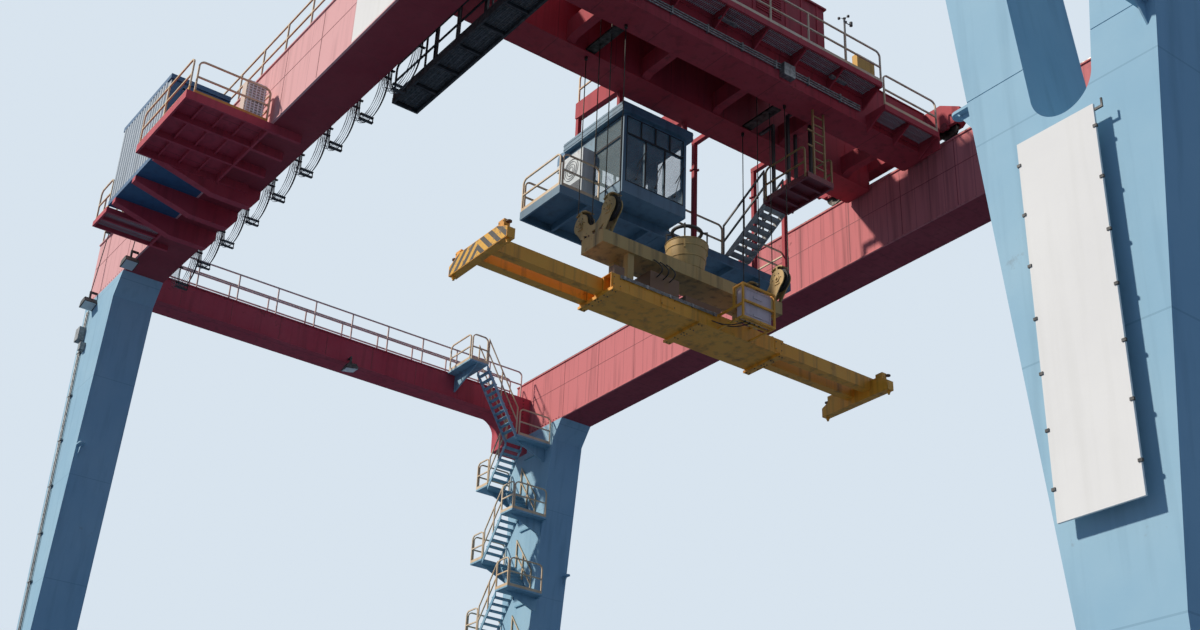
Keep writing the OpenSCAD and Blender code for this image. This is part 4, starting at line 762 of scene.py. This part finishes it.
def anemometer(s):
    # hub, three arms with cups at the mast's top, and the obstruction lamp beside it
    top = np.array(s["top"])
    hub = top - [0, 0, 0.01]
    parts = [discs(top - [0, 0, 0.02], (0, 0, 1), 0.05, 0.02, 16)]
    for tip in circle(hub, s["arm"], 2 * np.pi * np.arange(s["cups"]) / s["cups"], "Z"):
        parts.append(tube(np.linspace(hub, tip, 4), 0.008, 6))
        parts.append(discs(tip - [0, 0, 0.04], (0, 0, 1), s["cup"], 0.05, 12))
    lamp = np.linspace(top + [0, s["lampY"], -0.15], top + [0, s["lampY"], -0.02], 4)
    return parts + [tube(lamp, s["lamp"], 12)]


addPiece("anemometer", anemometer(mastSettings), darkCasting, "trolley")

# cab: each pane is its start and end along the wall and its bottom and top, from the cab's low corner
cabSettings = {
    "corner": (-4.28, -1.06, 23.8003), "length": 2.52, "width": 2.17, "gasket": 0.022,
    "sidePanes": [(0.12 + k * 0.66, 0.73 + k * 0.66, 0.39, 1.86) for k in range(3)]
                 + [(0.12 + k * 0.495, 0.565 + k * 0.495, 1.92, 2.43) for k in range(4)],
    "frontPanes": [(1.23, 2.4, 0.39, 1.78), (1.23, 2.4, 1.84, 2.43)],
    "rearPanes": [(1.25, 2.34, 1.0, 2.43), (0.32, 0.88, 1.0, 1.95)],
    "wiperY": (-0.62, 0.04, 0.7), "grabX": 1.06, "grabZ": (24.7, 25.6), "grabFeet": (24.72, 25.58),
    "eaves": 0.14, "fasciaZ": (26.36, 26.5), "roofZ": 26.58, "roofPitch": 0.42,
}


def rectangleFrame(fixedAxis, face, outward, u0, u1, z0, z1, width):
    # four flat strips round a rectangle on a wall whose outer face is at the given place
    d0, d1 = plateSides(face, outward * 0.012)
    strips = [(u0 - width, u1 + width, z0 - width, z0), (u0 - width, u1 + width, z1, z1 + width),
              (u0 - width, u0, z0, z1), (u1, u1 + width, z0, z1)]
    if fixedAxis == "X":
        return [boxes([d0, a0, b0], [d1, a1, b1]) for a0, a1, b0, b1 in strips]
    return [boxes([a0, d0, b0], [a1, d1, b1]) for a0, a1, b0, b1 in strips]


def paneGaskets(s):
    # rubber round each pane of the four walls
    x, y, z = s["corner"]
    walls = (("X", x, -1, y, s["sidePanes"]), ("X", x + s["length"], 1, y, s["sidePanes"]),
             ("Y", y, -1, x, s["frontPanes"]), ("Y", y + s["width"], 1, x, s["rearPanes"]))
    parts = []
    for axis, face, outward, start, panes in walls:
        for u0, u1, z0, z1 in panes:
            parts += rectangleFrame(axis, face, outward, start + u0, start + u1, z + z0, z + z1, s["gasket"])
    return parts


def wipersAndGrabBar(s):
    # three wipers, each an arm, a blade and a motor cap, and the bar with its two feet beside the door
    x, y = s["corner"][:2]
    glass, door = x + s["length"], y + s["width"]
    along = np.linspace(0, 1, 6)
    parts = []
    for wiper in s["wiperY"]:
        parts.append(tube(points(glass + 0.035, wiper + 0.2 * along, 24.35 + 0.75 * along), 0.008, 6))
        parts.append(tube(points(glass + 0.03, wiper + 0.02 + 0.3 * along, 24.75 + 0.62 * along), 0.012, 6))
        parts.append(discs((glass, wiper, 24.33), (1, 0, 0), 0.03, 0.04, 12))
    parts.append(tube(points(x + s["grabX"], door + 0.06, np.linspace(*s["grabZ"], 8)), 0.014, 8))
    stems = door + np.array([0.0, 0.03, 0.06])
    return parts + [tube(points(x + s["grabX"], stems, foot), 0.012, 8) for foot in s["grabFeet"]]


def cabRoofRibs(s):
    # two strips round the fascia's front and right side, and ribs across the roof
    x, y = s["corner"][:2]
    x1, y1, eaves = x + s["length"], y + s["width"], s["eaves"]
    strip = np.array(s["fasciaZ"])
    ribX = np.arange(x, x1, s["roofPitch"])
    return [boxes(points(x - eaves, y - eaves, strip), points(x1 + eaves, y - eaves + 0.01, strip + 0.02)),
            boxes(points(x1 + eaves - 0.01, y - eaves, strip), points(x1 + eaves, y1 + eaves, strip + 0.02)),
            boxes(points(ribX, y - 0.12, s["roofZ"]), points(ribX + 0.05, y1 + 0.12, s["roofZ"] + 0.02))]


addPiece("paneGaskets", paneGaskets(cabSettings), blackRubber, "trolley")
addPiece("wipersAndGrabBar", wipersAndGrabBar(cabSettings), darkCasting, "trolley")
addPiece("cabRoofRibs", cabRoofRibs(cabSettings), cabEnamel, "trolley")

coolerSettings = {"low": (-4.05, -1.465, 24.1), "slat": (0.9, 0.015, 0.02), "slats": 14, "pitch": 0.045,
                  "fan": (-3.6, -1.462, 25.2), "rings": (0.1, 0.18, 0.26, 0.33), "wire": 0.007}


def coolerGrille(s):
    # louvre slats, and the wire rings of the fan's guard above them
    x, y, z = s["low"]
    around = np.linspace(0, 2 * np.pi, 37)
    rings = [tube(circle(s["fan"], r, around), s["wire"], 6, caps=False) for r in s["rings"]]
    return [blocks(x, y, z + s["pitch"] * np.arange(s["slats"]), s["slat"])] + rings


addPiece("coolerGrille", coolerGrille(coolerSettings), greyCable, "trolley")

columnSettings = {"x": -2.6, "y": (2.1, 4.36, 5.55), "z": (26.16, 26.215), "reach": 0.085}


def columnBolts(s):
    # four bolts through the round flanges half way down the columns of the cab's platform
    offset = np.array([-s["reach"], s["reach"]])
    return [discs(grid(s["x"] + offset, y + offset, [z]), (0, 0, 1), 0.016, 0.02)
            for y in s["y"] for z in s["z"]]


addPiece("columnBolts", columnBolts(columnSettings), darkCasting, "trolley")
print("stage: structure details")

# the sheaves' pins, measured from the trolley's middle, and the radius of their grooves
sheaveSettings = {"pinX": 0.56, "pinY": 2.75, "pinZ": 21.666, "groove": 0.29, "face": 0.125}
ropeSettings = {"radius": 0.014, "strands": 8, "lay": 0.42, "ringStep": 0.03, "gap": 0.0003, "anchorZ": 26.96}


def wireRopes(s, sheave, low):
    # eight-strand falls, tangent to the grooves; the outer ones end in their anchors, the inner in the beams
    reach = sheave["groove"] + s["radius"] + s["gap"]
    falls = sorted(pin * sheave["pinX"] + way * reach for pin in (-1, 1) for way in (-1, 1))
    parts = []
    for side in (-1, 1):
        for n, x in enumerate(falls):
            top = s["anchorZ"] if n in (0, len(falls) - 1) else beamZ
            z = np.arange(low, top, s["ringStep"])
            z[-1] = top
            path = points(x + trolleyX, side * sheave["pinY"], z)
            parts.append(tube(path, s["radius"], 12, s["strands"], s["lay"]))
    return parts


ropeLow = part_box("hoist_ropes")[0][2]
ropeFalls = wireRopes(ropeSettings, sheaveSettings, ropeLow)
ropes = addPiece("wireRopes", ropeFalls, ropeWire, None, True)
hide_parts("hoist_ropes")
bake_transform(ropes)


def addCord(name, path, radius, sides, material, body):
    # a tube along the path; the cord is as long as the path and goes back into the object at its end
    cord = addPiece(name, [tube(path, radius, sides)], material, body, True)
    return cord


# eight thin grey cords and two thick black ones hang in one loop per carrier, side by side under the rail
festoonSettings = {
    "firstX": -16.55, "pitch": 1.65, "loops": 9, "y": -7.45, "top": 26.25, "legX": 0.07, "hump": 0.045,
    "thin": {"count": 8, "radius": 0.006, "y": -0.124, "pitch": 0.03, "bottom": 24.50, "step": 0.03},
    "thick": ((0.107, 0.011, 24.56), (0.131, 0.011, 24.60)),
}


def loopPath(s, y, bottom):
    # down from one carrier, round a half circle, up to the next and over it in a low hump
    pitch, legX, top = s["pitch"], s["legX"], s["top"]
    half = pitch / 2 - legX
    centre = bottom + half
    bend, over = np.linspace(math.pi, 2 * math.pi, 24), np.linspace(math.pi, 0, 9)[1:-1]
    x = np.concatenate([np.full(12, legX), legX + half + half * np.cos(bend), np.full(11, pitch - legX),
                        pitch + legX * np.cos(over)])
    z = np.concatenate([np.linspace(top, centre, 12, endpoint=False), centre + half * np.sin(bend),
                        np.linspace(centre, top, 12)[1:], top + s["hump"] * np.sin(over)])
    starts = s["firstX"] + pitch * np.arange(s["loops"])
    count = s["loops"] * len(x) - len(over)  # no hump after the last loop
    return points((starts[:, None] + x).ravel()[:count], y, np.tile(z, s["loops"])[:count])


def cableCarriers(s):
    # a plate with turned-down ends under the rail at each end of a loop, and its hanger
    x, y = s["firstX"] + s["pitch"] * np.arange(s["loops"] + 1), s["y"]
    return [blocks(x - 0.09, y - 0.18, 26.2, (0.18, 0.36, 0.025)),
            blocks(x - 0.02, y - 0.06, 26.225, (0.04, 0.12, 0.075)),
            blocks(x - 0.1, y - 0.18, 26.15, (0.01, 0.36, 0.075)),
            blocks(x + 0.09, y - 0.18, 26.15, (0.01, 0.36, 0.075))]


def cableClampBars(s):
    # a pair of bars across the cords on both legs of each loop, and a closed clamp round its bottom
    start, y = s["firstX"] + s["pitch"] * np.arange(s["loops"]), s["y"]
    middle = start + s["pitch"] / 2
    parts = []
    for way in (-1, 1):
        for legX, z in ((s["legX"], 25.55), (s["pitch"] - s["legX"], 25.4)):
            parts.append(blocks(start + legX + way * 0.02 - 0.012, y - 0.2, z, (0.024, 0.4, 0.035)))
        parts.append(blocks(middle - 0.05, y - 0.19, 24.52 + way * 0.075, (0.1, 0.38, 0.02)))
    return parts + [blocks(middle - 0.03, y + end, 24.445, (0.06, 0.006, 0.175)) for end in (-0.185, 0.18)]


def addFestoonCords(s):
    # the thin cords' bottoms differ by a few steps, so that they fan out
    thin = s["thin"]
    plan = [(thin["y"] + thin["pitch"] * n, thin["radius"], thin["bottom"] + thin["step"] * ((n * 3) % 5))
            for n in range(thin["count"])]
    for n, (offset, radius, bottom) in enumerate(plan + list(s["thick"])):
        path = loopPath(s, s["y"] + offset, bottom)
        material = greyCable if n < thin["count"] else blackRubber
        addCord("festoonCord" + str(n), path, radius, 8, material, "root")
    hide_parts("festoon_cables")


addPiece("cableCarriers", cableCarriers(festoonSettings), galvanizedSteel, "root")
addPiece("cableClampBars", cableClampBars(festoonSettings), darkCasting, "root")
addFestoonCords(festoonSettings)
print("stage: festoon")

# floodlights, in the lamp's own axes: the mouth's two edges, each as x and z, and the fins on its back
lampSettings = {"girderX": (-19.0, -15.6, 2.5, 10.5), "girderPlace": (-8.99, 25.0), "tiePlace": (18.97, 25.6),
                "mouth": ((-0.215, -0.4708), (0.215, -0.3925)), "glass": 0.012, "y": (-0.39, -0.03),
                "finX": (-0.12, 0.13, 0.06), "fin": (0.008, 0.38, 0.045)}


def lampGlasses(s):
    # a pane in the mouth, thickened square to it
    (xa, za), (xb, zb) = s["mouth"]
    y0, y1 = s["y"]
    down = np.array([zb - za, 0, xa - xb])
    down *= s["glass"] / np.linalg.norm(down)
    return prism([(xa, y0, za), (xb, y0, zb), (xb, y1, zb), (xa, y1, za)], down)


def lampFins(s):
    # upright cooling fins
    return blocks(np.arange(*s["finX"]), -0.4, -0.26, s["fin"])


def atLamps(part, s):
    # one copy of the part for each lamp: on the front girder, and turned inwards on the tie beams
    y, z = s["girderPlace"]
    places = [((x, y, z), 0.0) for x in s["girderX"]]
    places += [((side * s["tiePlace"][0], 0.0, s["tiePlace"][1]), -side * math.pi / 2) for side in (-1, 1)]
    return [turned(part, turn, place) for place, turn in places]


def floodlightRods(s):
    # two stay rods down the girder's web to each lamp, and the bracket that they hang from
    parts = []
    for x in s["girderX"]:
        for dx in (-0.03, 0.03):
            parts.append(tube(np.linspace([x + dx, -9.03, 27.36], [x + dx, -9.2, 25.06], 12), 0.008, 6))
        parts.append(boxes([x - 0.12, -9.14, 27.34], [x + 0.12, -8.9, 27.37]))
        parts.append(boxes([x - 0.07, -9.1, 27.37], [x + 0.07, -8.95, 27.5]))
    return parts


addPiece("floodlightRods", floodlightRods(lampSettings), darkCasting, "root")
glasses = atLamps(lampGlasses(lampSettings), lampSettings)
addPiece("floodlightGlass", glasses, lensGlass, "root")
addPiece("floodlightFins", atLamps(lampFins(lampSettings), lampSettings), darkCasting, "root")

headSettings = {"top": 21.096, "stripX": 0.45, "stripY": (-2.55, 2.6, 0.85), "stripZ": (20.76, 21.08)}


def sheaveFaces(s):
    # the middle of both faces of each sheave housing, with the way that it looks
    return [(np.array([trolleyX + sx * s["pinX"], side * s["pinY"] + way * s["face"], s["pinZ"]]), way)
            for side in (-1, 1) for sx in (-1, 1) for way in (-1, 1)]


def sheaveCaps(s, head):
    # a stepped cap and a keeper plate on each pin, and welds on the sides of the headblock's beam
    parts = []
    for centre, way in sheaveFaces(s):
        x, y, z = centre
        parts.append(discs(centre, (0, way, 0), 0.095, 0.022, 28))
        parts.append(discs(centre + [0, way * 0.022, 0], (0, way, 0), 0.04, 0.03, 16))
        y0, y1 = plateSides(y, way * 0.02)
        parts.append(boxes([x - 0.09, y0, z - 0.17], [x + 0.09, y1, z - 0.13]))
    y = np.arange(*head["stripY"])
    for side in (-1, 1):
        x0, x1 = plateSides(trolleyX + side * head["stripX"], side * 0.006)
        parts.append(boxes(points(x0, y, head["stripZ"][0]), points(x1, y + 0.012, head["stripZ"][1])))
    return parts


def headblockBolts(s, head):
    # six bolts round each pin, and four at the foot of each housing
    around = np.arange(0, 2 * math.pi - 0.01, math.pi / 3)
    parts = [discs(circle(centre, 0.15, around), (0, way, 0), 0.014, 0.016) for centre, way in sheaveFaces(s)]
    for side in (-1, 1):
        for sx in (-1, 1):
            feetX = trolleyX + sx * np.array([0.1, 0.4])
            feet = grid(feetX, side * s["pinY"] + np.array([-0.19, 0.19]), [head["top"]])
            parts.append(discs(feet, (0, 0, 1), 0.022, 0.024))
    return parts


addPiece("sheaveCaps", sheaveCaps(sheaveSettings, headSettings), khakiEnamel, "spreader")
pinBolts = headblockBolts(sheaveSettings, headSettings)
addPiece("headblockBolts", pinBolts, rustySteel, "spreader")

basketSettings = {"centre": (trolleyX, 0.05), "low": 21.096, "radius": 0.444, "flare": 0.11 / 0.8,
                  "hoops": (21.13, 21.42, 21.7, 21.885), "wire": 0.012}


def basketHoops(s):
    # hoops rolled round the tub, which widens upwards
    around = np.linspace(0, 2 * math.pi, 49)
    return [tube(circle((*s["centre"], z), s["radius"] + s["flare"] * (z - s["low"]), around, "Z"),
                 s["wire"], 8, caps=False) for z in s["hoops"]]


addPiece("basketHoops", basketHoops(basketSettings), khakiEnamel, "spreader")

# the spreader's own cable lies coiled in the tub
coilSettings = {"radius": 0.019, "turns": 9, "perLayer": 3, "outer": 0.36, "turnGap": 0.046, "low": 21.165,
                "layerGap": 0.05}


def coilPath(s, centre):
    # a spiral that winds inwards in one layer and outwards in the next, rising evenly by a gap a layer
    angle = np.linspace(0, 2 * math.pi * s["turns"], 60 * s["turns"])
    turn = angle / (2 * math.pi)
    layer = np.minimum(turn, s["turns"] - 0.001) // s["perLayer"]
    inLayer = turn - layer * s["perLayer"]
    reach = s["outer"] - s["turnGap"] * np.where(layer % 2 == 0, inLayer, s["perLayer"] - inLayer)
    z = s["low"] + s["layerGap"] * np.linspace(0, s["turns"] / s["perLayer"], len(angle))
    return points(centre[0] + reach * np.cos(angle), centre[1] + reach * np.sin(angle), z)


coil = coilPath(coilSettings, basketSettings["centre"])
addCord("coiledCable", coil, coilSettings["radius"], 10, blackRubber, "spreader")

spreaderSettings = {"halfWidth": 0.628, "z": (19.45, 19.866), "seamY": (-2.2, -1.45, -0.6, 0.2, 1.75, 2.35),
                    "plates": ((-1.25, -0.8, 0.08), (-2.7, -2.45, 0.04), (2.45, 2.7, 0.04)), "plate": 0.012,
                    "underZ": 19.39, "underY": (-2.75, -0.1, 2.55), "boltY": (-2.65, 0.0, 2.65),
                    "sideBoltY": (-2.67, -2.48, 2.48, 2.67, -1.22, -0.83)}


def spreaderPlates(s):
    # butt welds and cover plates on the tubes' outer sides, and welds across their underside
    (low, top), seamY, underY = s["z"], np.array(s["seamY"]), np.array(s["underY"])
    parts = []
    for side in (-1, 1):
        face = trolleyX + side * s["halfWidth"]
        x0, x1 = plateSides(face, side * 0.005)
        parts.append(boxes(points(x0, seamY, low + 0.01), points(x1, seamY + 0.012, top - 0.01)))
        x0, x1 = plateSides(face, side * s["plate"])
        parts += [boxes([x0, y0, low + margin], [x1, y1, top - margin]) for y0, y1, margin in s["plates"]]
    parts.append(boxes(points(trolleyX - 0.7, underY, s["underZ"] - 0.006),
                       points(trolleyX + 0.7, underY + 0.012, s["underZ"])))
    return parts


def spreaderBolts(s):
    # bolt rows through the cross plates from below, and at the corners of the cover plates
    (low, top), across = s["z"], np.array([-0.05, -0.3, -0.62, 0.05, 0.3, 0.62])
    beside = np.array([-0.05, 0.05])
    parts = [discs(grid(trolleyX + across, y + beside, [s["underZ"]]), (0, 0, -1), 0.018, 0.016)
             for y in s["boltY"]]
    for side in (-1, 1):
        face = trolleyX + side * (s["halfWidth"] + s["plate"])
        corners = grid([face], s["sideBoltY"], [low + 0.11, top - 0.11])
        parts.append(discs(corners, (side, 0, 0), 0.014, 0.012))
    return parts


def spreaderLines(s):
    # three hydraulic pipes along the near side, in clamps
    x = trolleyX + s["halfWidth"]
    parts = [tube(points(x + 0.03, np.linspace(-2.5, 0.5, 40), z), 0.011, 8) for z in (19.79, 19.82, 19.85)]
    return parts + [blocks(x, np.arange(-2.4, 0.5, 0.7), 19.775, (0.045, 0.04, 0.09))]


addPiece("spreaderPlates", spreaderPlates(spreaderSettings), ochreEnamel, "spreader")
addPiece("spreaderBolts", spreaderBolts(spreaderSettings), rustySteel, "spreader")
addPiece("spreaderLines", spreaderLines(spreaderSettings), galvanizedSteel, "spreader")

boxSettings = {"face": 1.1, "doorY": (0.70, 1.47), "doorZ": (19.62, 20.28), "frame": 0.02,
               "hingeZ": (19.7, 20.1), "glandX": 0.97, "glandY": (0.8, 0.95, 1.1, 1.25), "glandZ": 19.5}


def boxDoor(s):
    # frame strips, two hinges and a lock
    x, y = s["face"], s["doorY"][0]
    parts = rectangleFrame("X", x, 1, *s["doorY"], *s["doorZ"], s["frame"])
    parts += [boxes([x, y - 0.03, z], [x + 0.014, y, z + 0.07]) for z in s["hingeZ"]]
    return parts + [boxes([x, 1.38, 19.9], [x + 0.016, 1.43, 20.02])]


addPiece("boxDoor", boxDoor(boxSettings), boxEnamel, "spreader")
glands = points(boxSettings["glandX"], boxSettings["glandY"], boxSettings["glandZ"])
addPiece("boxGlands", [discs(glands, (0, 0, -1), 0.02, 0.04, 10)], darkCasting, "spreader")

# hoses: where each starts and ends beside its own y, and how far its middle hangs out
hoseSettings = {
    "headblockHose": {"y": (-1.35, -1.15, -0.95), "radius": 0.016, "bulge": (0.28, 0.0, -0.12),
                      "start": (trolleyX + 0.45, 0.0, 20.8), "end": (trolleyX + 0.52, 0.05, 20.3)},
    "boxHose": {"y": (0.8, 0.95), "radius": 0.013, "bulge": (0.0, 0.0, -0.1), "start": (0.97, 0.0, 19.46),
                "end": (trolleyX + spreaderSettings["halfWidth"] + 0.02, -0.45, 19.62)},
}


def addHoses(name, s):
    # the straight line from fitting to fitting plus bulge * sin(pi * along)
    along = np.linspace(0, 1, 33)[:, None]
    for n, y in enumerate(s["y"]):
        start, end = np.array(s["start"]) + [0, y, 0], np.array(s["end"]) + [0, y, 0]
        path = start + (end - start) * along + np.array(s["bulge"]) * np.sin(math.pi * along)
        addCord(name + str(n), path, s["radius"], 10, blackRubber, "spreader")


for hoseName, hoseSet in hoseSettings.items():
    addHoses(hoseName, hoseSet)

# end beams: their outline as x and z from the spreader's low middle
armSettings = {"outline": ((-1.2, 0.015), (1.2, 0.015), (1.2, 0.252), (0.793, 0.435), (-0.793, 0.435),
                           (-1.2, 0.252)),
               "face": 6.0815, "paint": 0.004, "boltX": (0.81, 0.99), "boltY": 6.0525, "boltZ": (19.56, 19.8),
               "lock": (1.1295, 5.9925, 19.73)}


def armChevrons(s, side):
    # a thin sheet of stripes on the outer face of the end beam
    x, z = np.array(s["outline"]).T
    return [prism(points(x + trolleyX, side * s["face"], z + spreaderZ), (0, side * s["paint"], 0))]


def armBolts(s, side):
    # bolts of the actuator boxes, and the round lock indicators over the twistlocks
    lockX, lockY, lockZ = s["lock"]
    parts = []
    for sx in (-1, 1):
        heads = grid(trolleyX + sx * np.array(s["boltX"]), [side * s["boltY"]], s["boltZ"])
        parts.append(discs(heads, (0, side, 0), 0.014, 0.012))
        parts.append(discs((trolleyX + sx * lockX, side * lockY, lockZ), (0, 0, 1), 0.07, 0.03, 20))
    return parts


for armName, armBody, armSide in (("frontArm", "front_arm", -1), ("rearArm", "rear_arm", 1)):
    addPiece(armName + "Chevrons", armChevrons(armSettings, armSide), chevronMaterial, armBody)
    addPiece(armName + "Bolts", armBolts(armSettings, armSide), rustySteel, armBody)
print("stage: spreader details")

# pale floor, a low sun in front of the crane, and a sky that looks paler than the light that it gives
stageSettings = {"size": 3000.0, "floor": ("#BDBBB6", "#D2D0CB"), "bounce": "#5C6C80",
                 "sunStrength": 3.7, "sunAngle": 3.0, "sunColor": (1.0, 0.92, 0.82),
                 "sunFrom": (-0.36, -0.72, 0.59), "skyLight": ("#9CC2F2", 0.36), "skySeen": ("#DDE9F4", 0.95)}


def floorMaterial(s):
    # pale to the camera, but its bounce on the crane's undersides is that of a dark yard
    material, tree, place = newMaterial("paleFloor")
    cloud = addNode(tree, "ShaderNodeTexNoise", inputs={"Vector": place, "Scale": 0.05, "Detail": 4.0})
    dark, light = [hexColor(text) for text in s["floor"]]
    pale = addNode(tree, "ShaderNodeMix", colorMix, {0: cloud.outputs["Fac"], 6: dark, 7: light})
    seen = addNode(tree, "ShaderNodeLightPath").outputs["Is Camera Ray"]
    color = addNode(tree, "ShaderNodeMix", colorMix, {0: seen, 6: hexColor(s["bounce"]), 7: pale.outputs[2]})
    closeMaterial(tree, color.outputs[2], 0.85)
    return material


def addFloor(s):
    half = s["size"] / 2
    mesh = bpy.data.meshes.new("floor")
    corners = [(-half, -half, 0), (half, -half, 0), (half, half, 0), (-half, half, 0)]
    mesh.from_pydata(corners, [], [(0, 1, 2, 3)])
    mesh.materials.append(floorMaterial(s))
    floor = bpy.data.objects.new("floor", mesh)
    bpy.context.scene.collection.objects.link(floor)


def addSun(s):
    data = bpy.data.lights.new("sun", "SUN")
    data.energy = s["sunStrength"]
    data.angle = math.radians(s["sunAngle"])
    data.color = s["sunColor"]
    sun = bpy.data.objects.new("sun", data)
    bpy.context.scene.collection.objects.link(sun)
    sun.rotation_euler = Vector(s["sunFrom"]).to_track_quat("Z", "Y").to_euler()


def addSky(s):
    # what the camera, a mirror or a pane shows behind the crane is paler than the light that the sky gives
    world = bpy.data.worlds.new("sky")
    bpy.context.scene.world = world
    world.use_nodes = True
    tree = world.node_tree
    tree.nodes.clear()
    rays = addNode(tree, "ShaderNodeLightPath")
    seen = rays.outputs["Is Camera Ray"]
    for kind in ("Is Glossy Ray", "Is Transmission Ray"):
        either = addNode(tree, "ShaderNodeMath", {"operation": "ADD", "use_clamp": True},
                         {0: seen, 1: rays.outputs[kind]})
        seen = either.outputs[0]
    lit, shown = [addNode(tree, "ShaderNodeBackground",
                          inputs={"Color": hexColor(color), "Strength": strength})
                  for color, strength in (s["skyLight"], s["skySeen"])]
    mixed = addNode(tree, "ShaderNodeMixShader", inputs={0: seen, 1: lit.outputs[0], 2: shown.outputs[0]})
    addNode(tree, "ShaderNodeOutputWorld", inputs={"Surface": mixed.outputs[0]})


addFloor(stageSettings)
addSun(stageSettings)
addSky(stageSettings)
bpy.context.scene.view_settings.view_transform = "Standard"
print("stage: light")
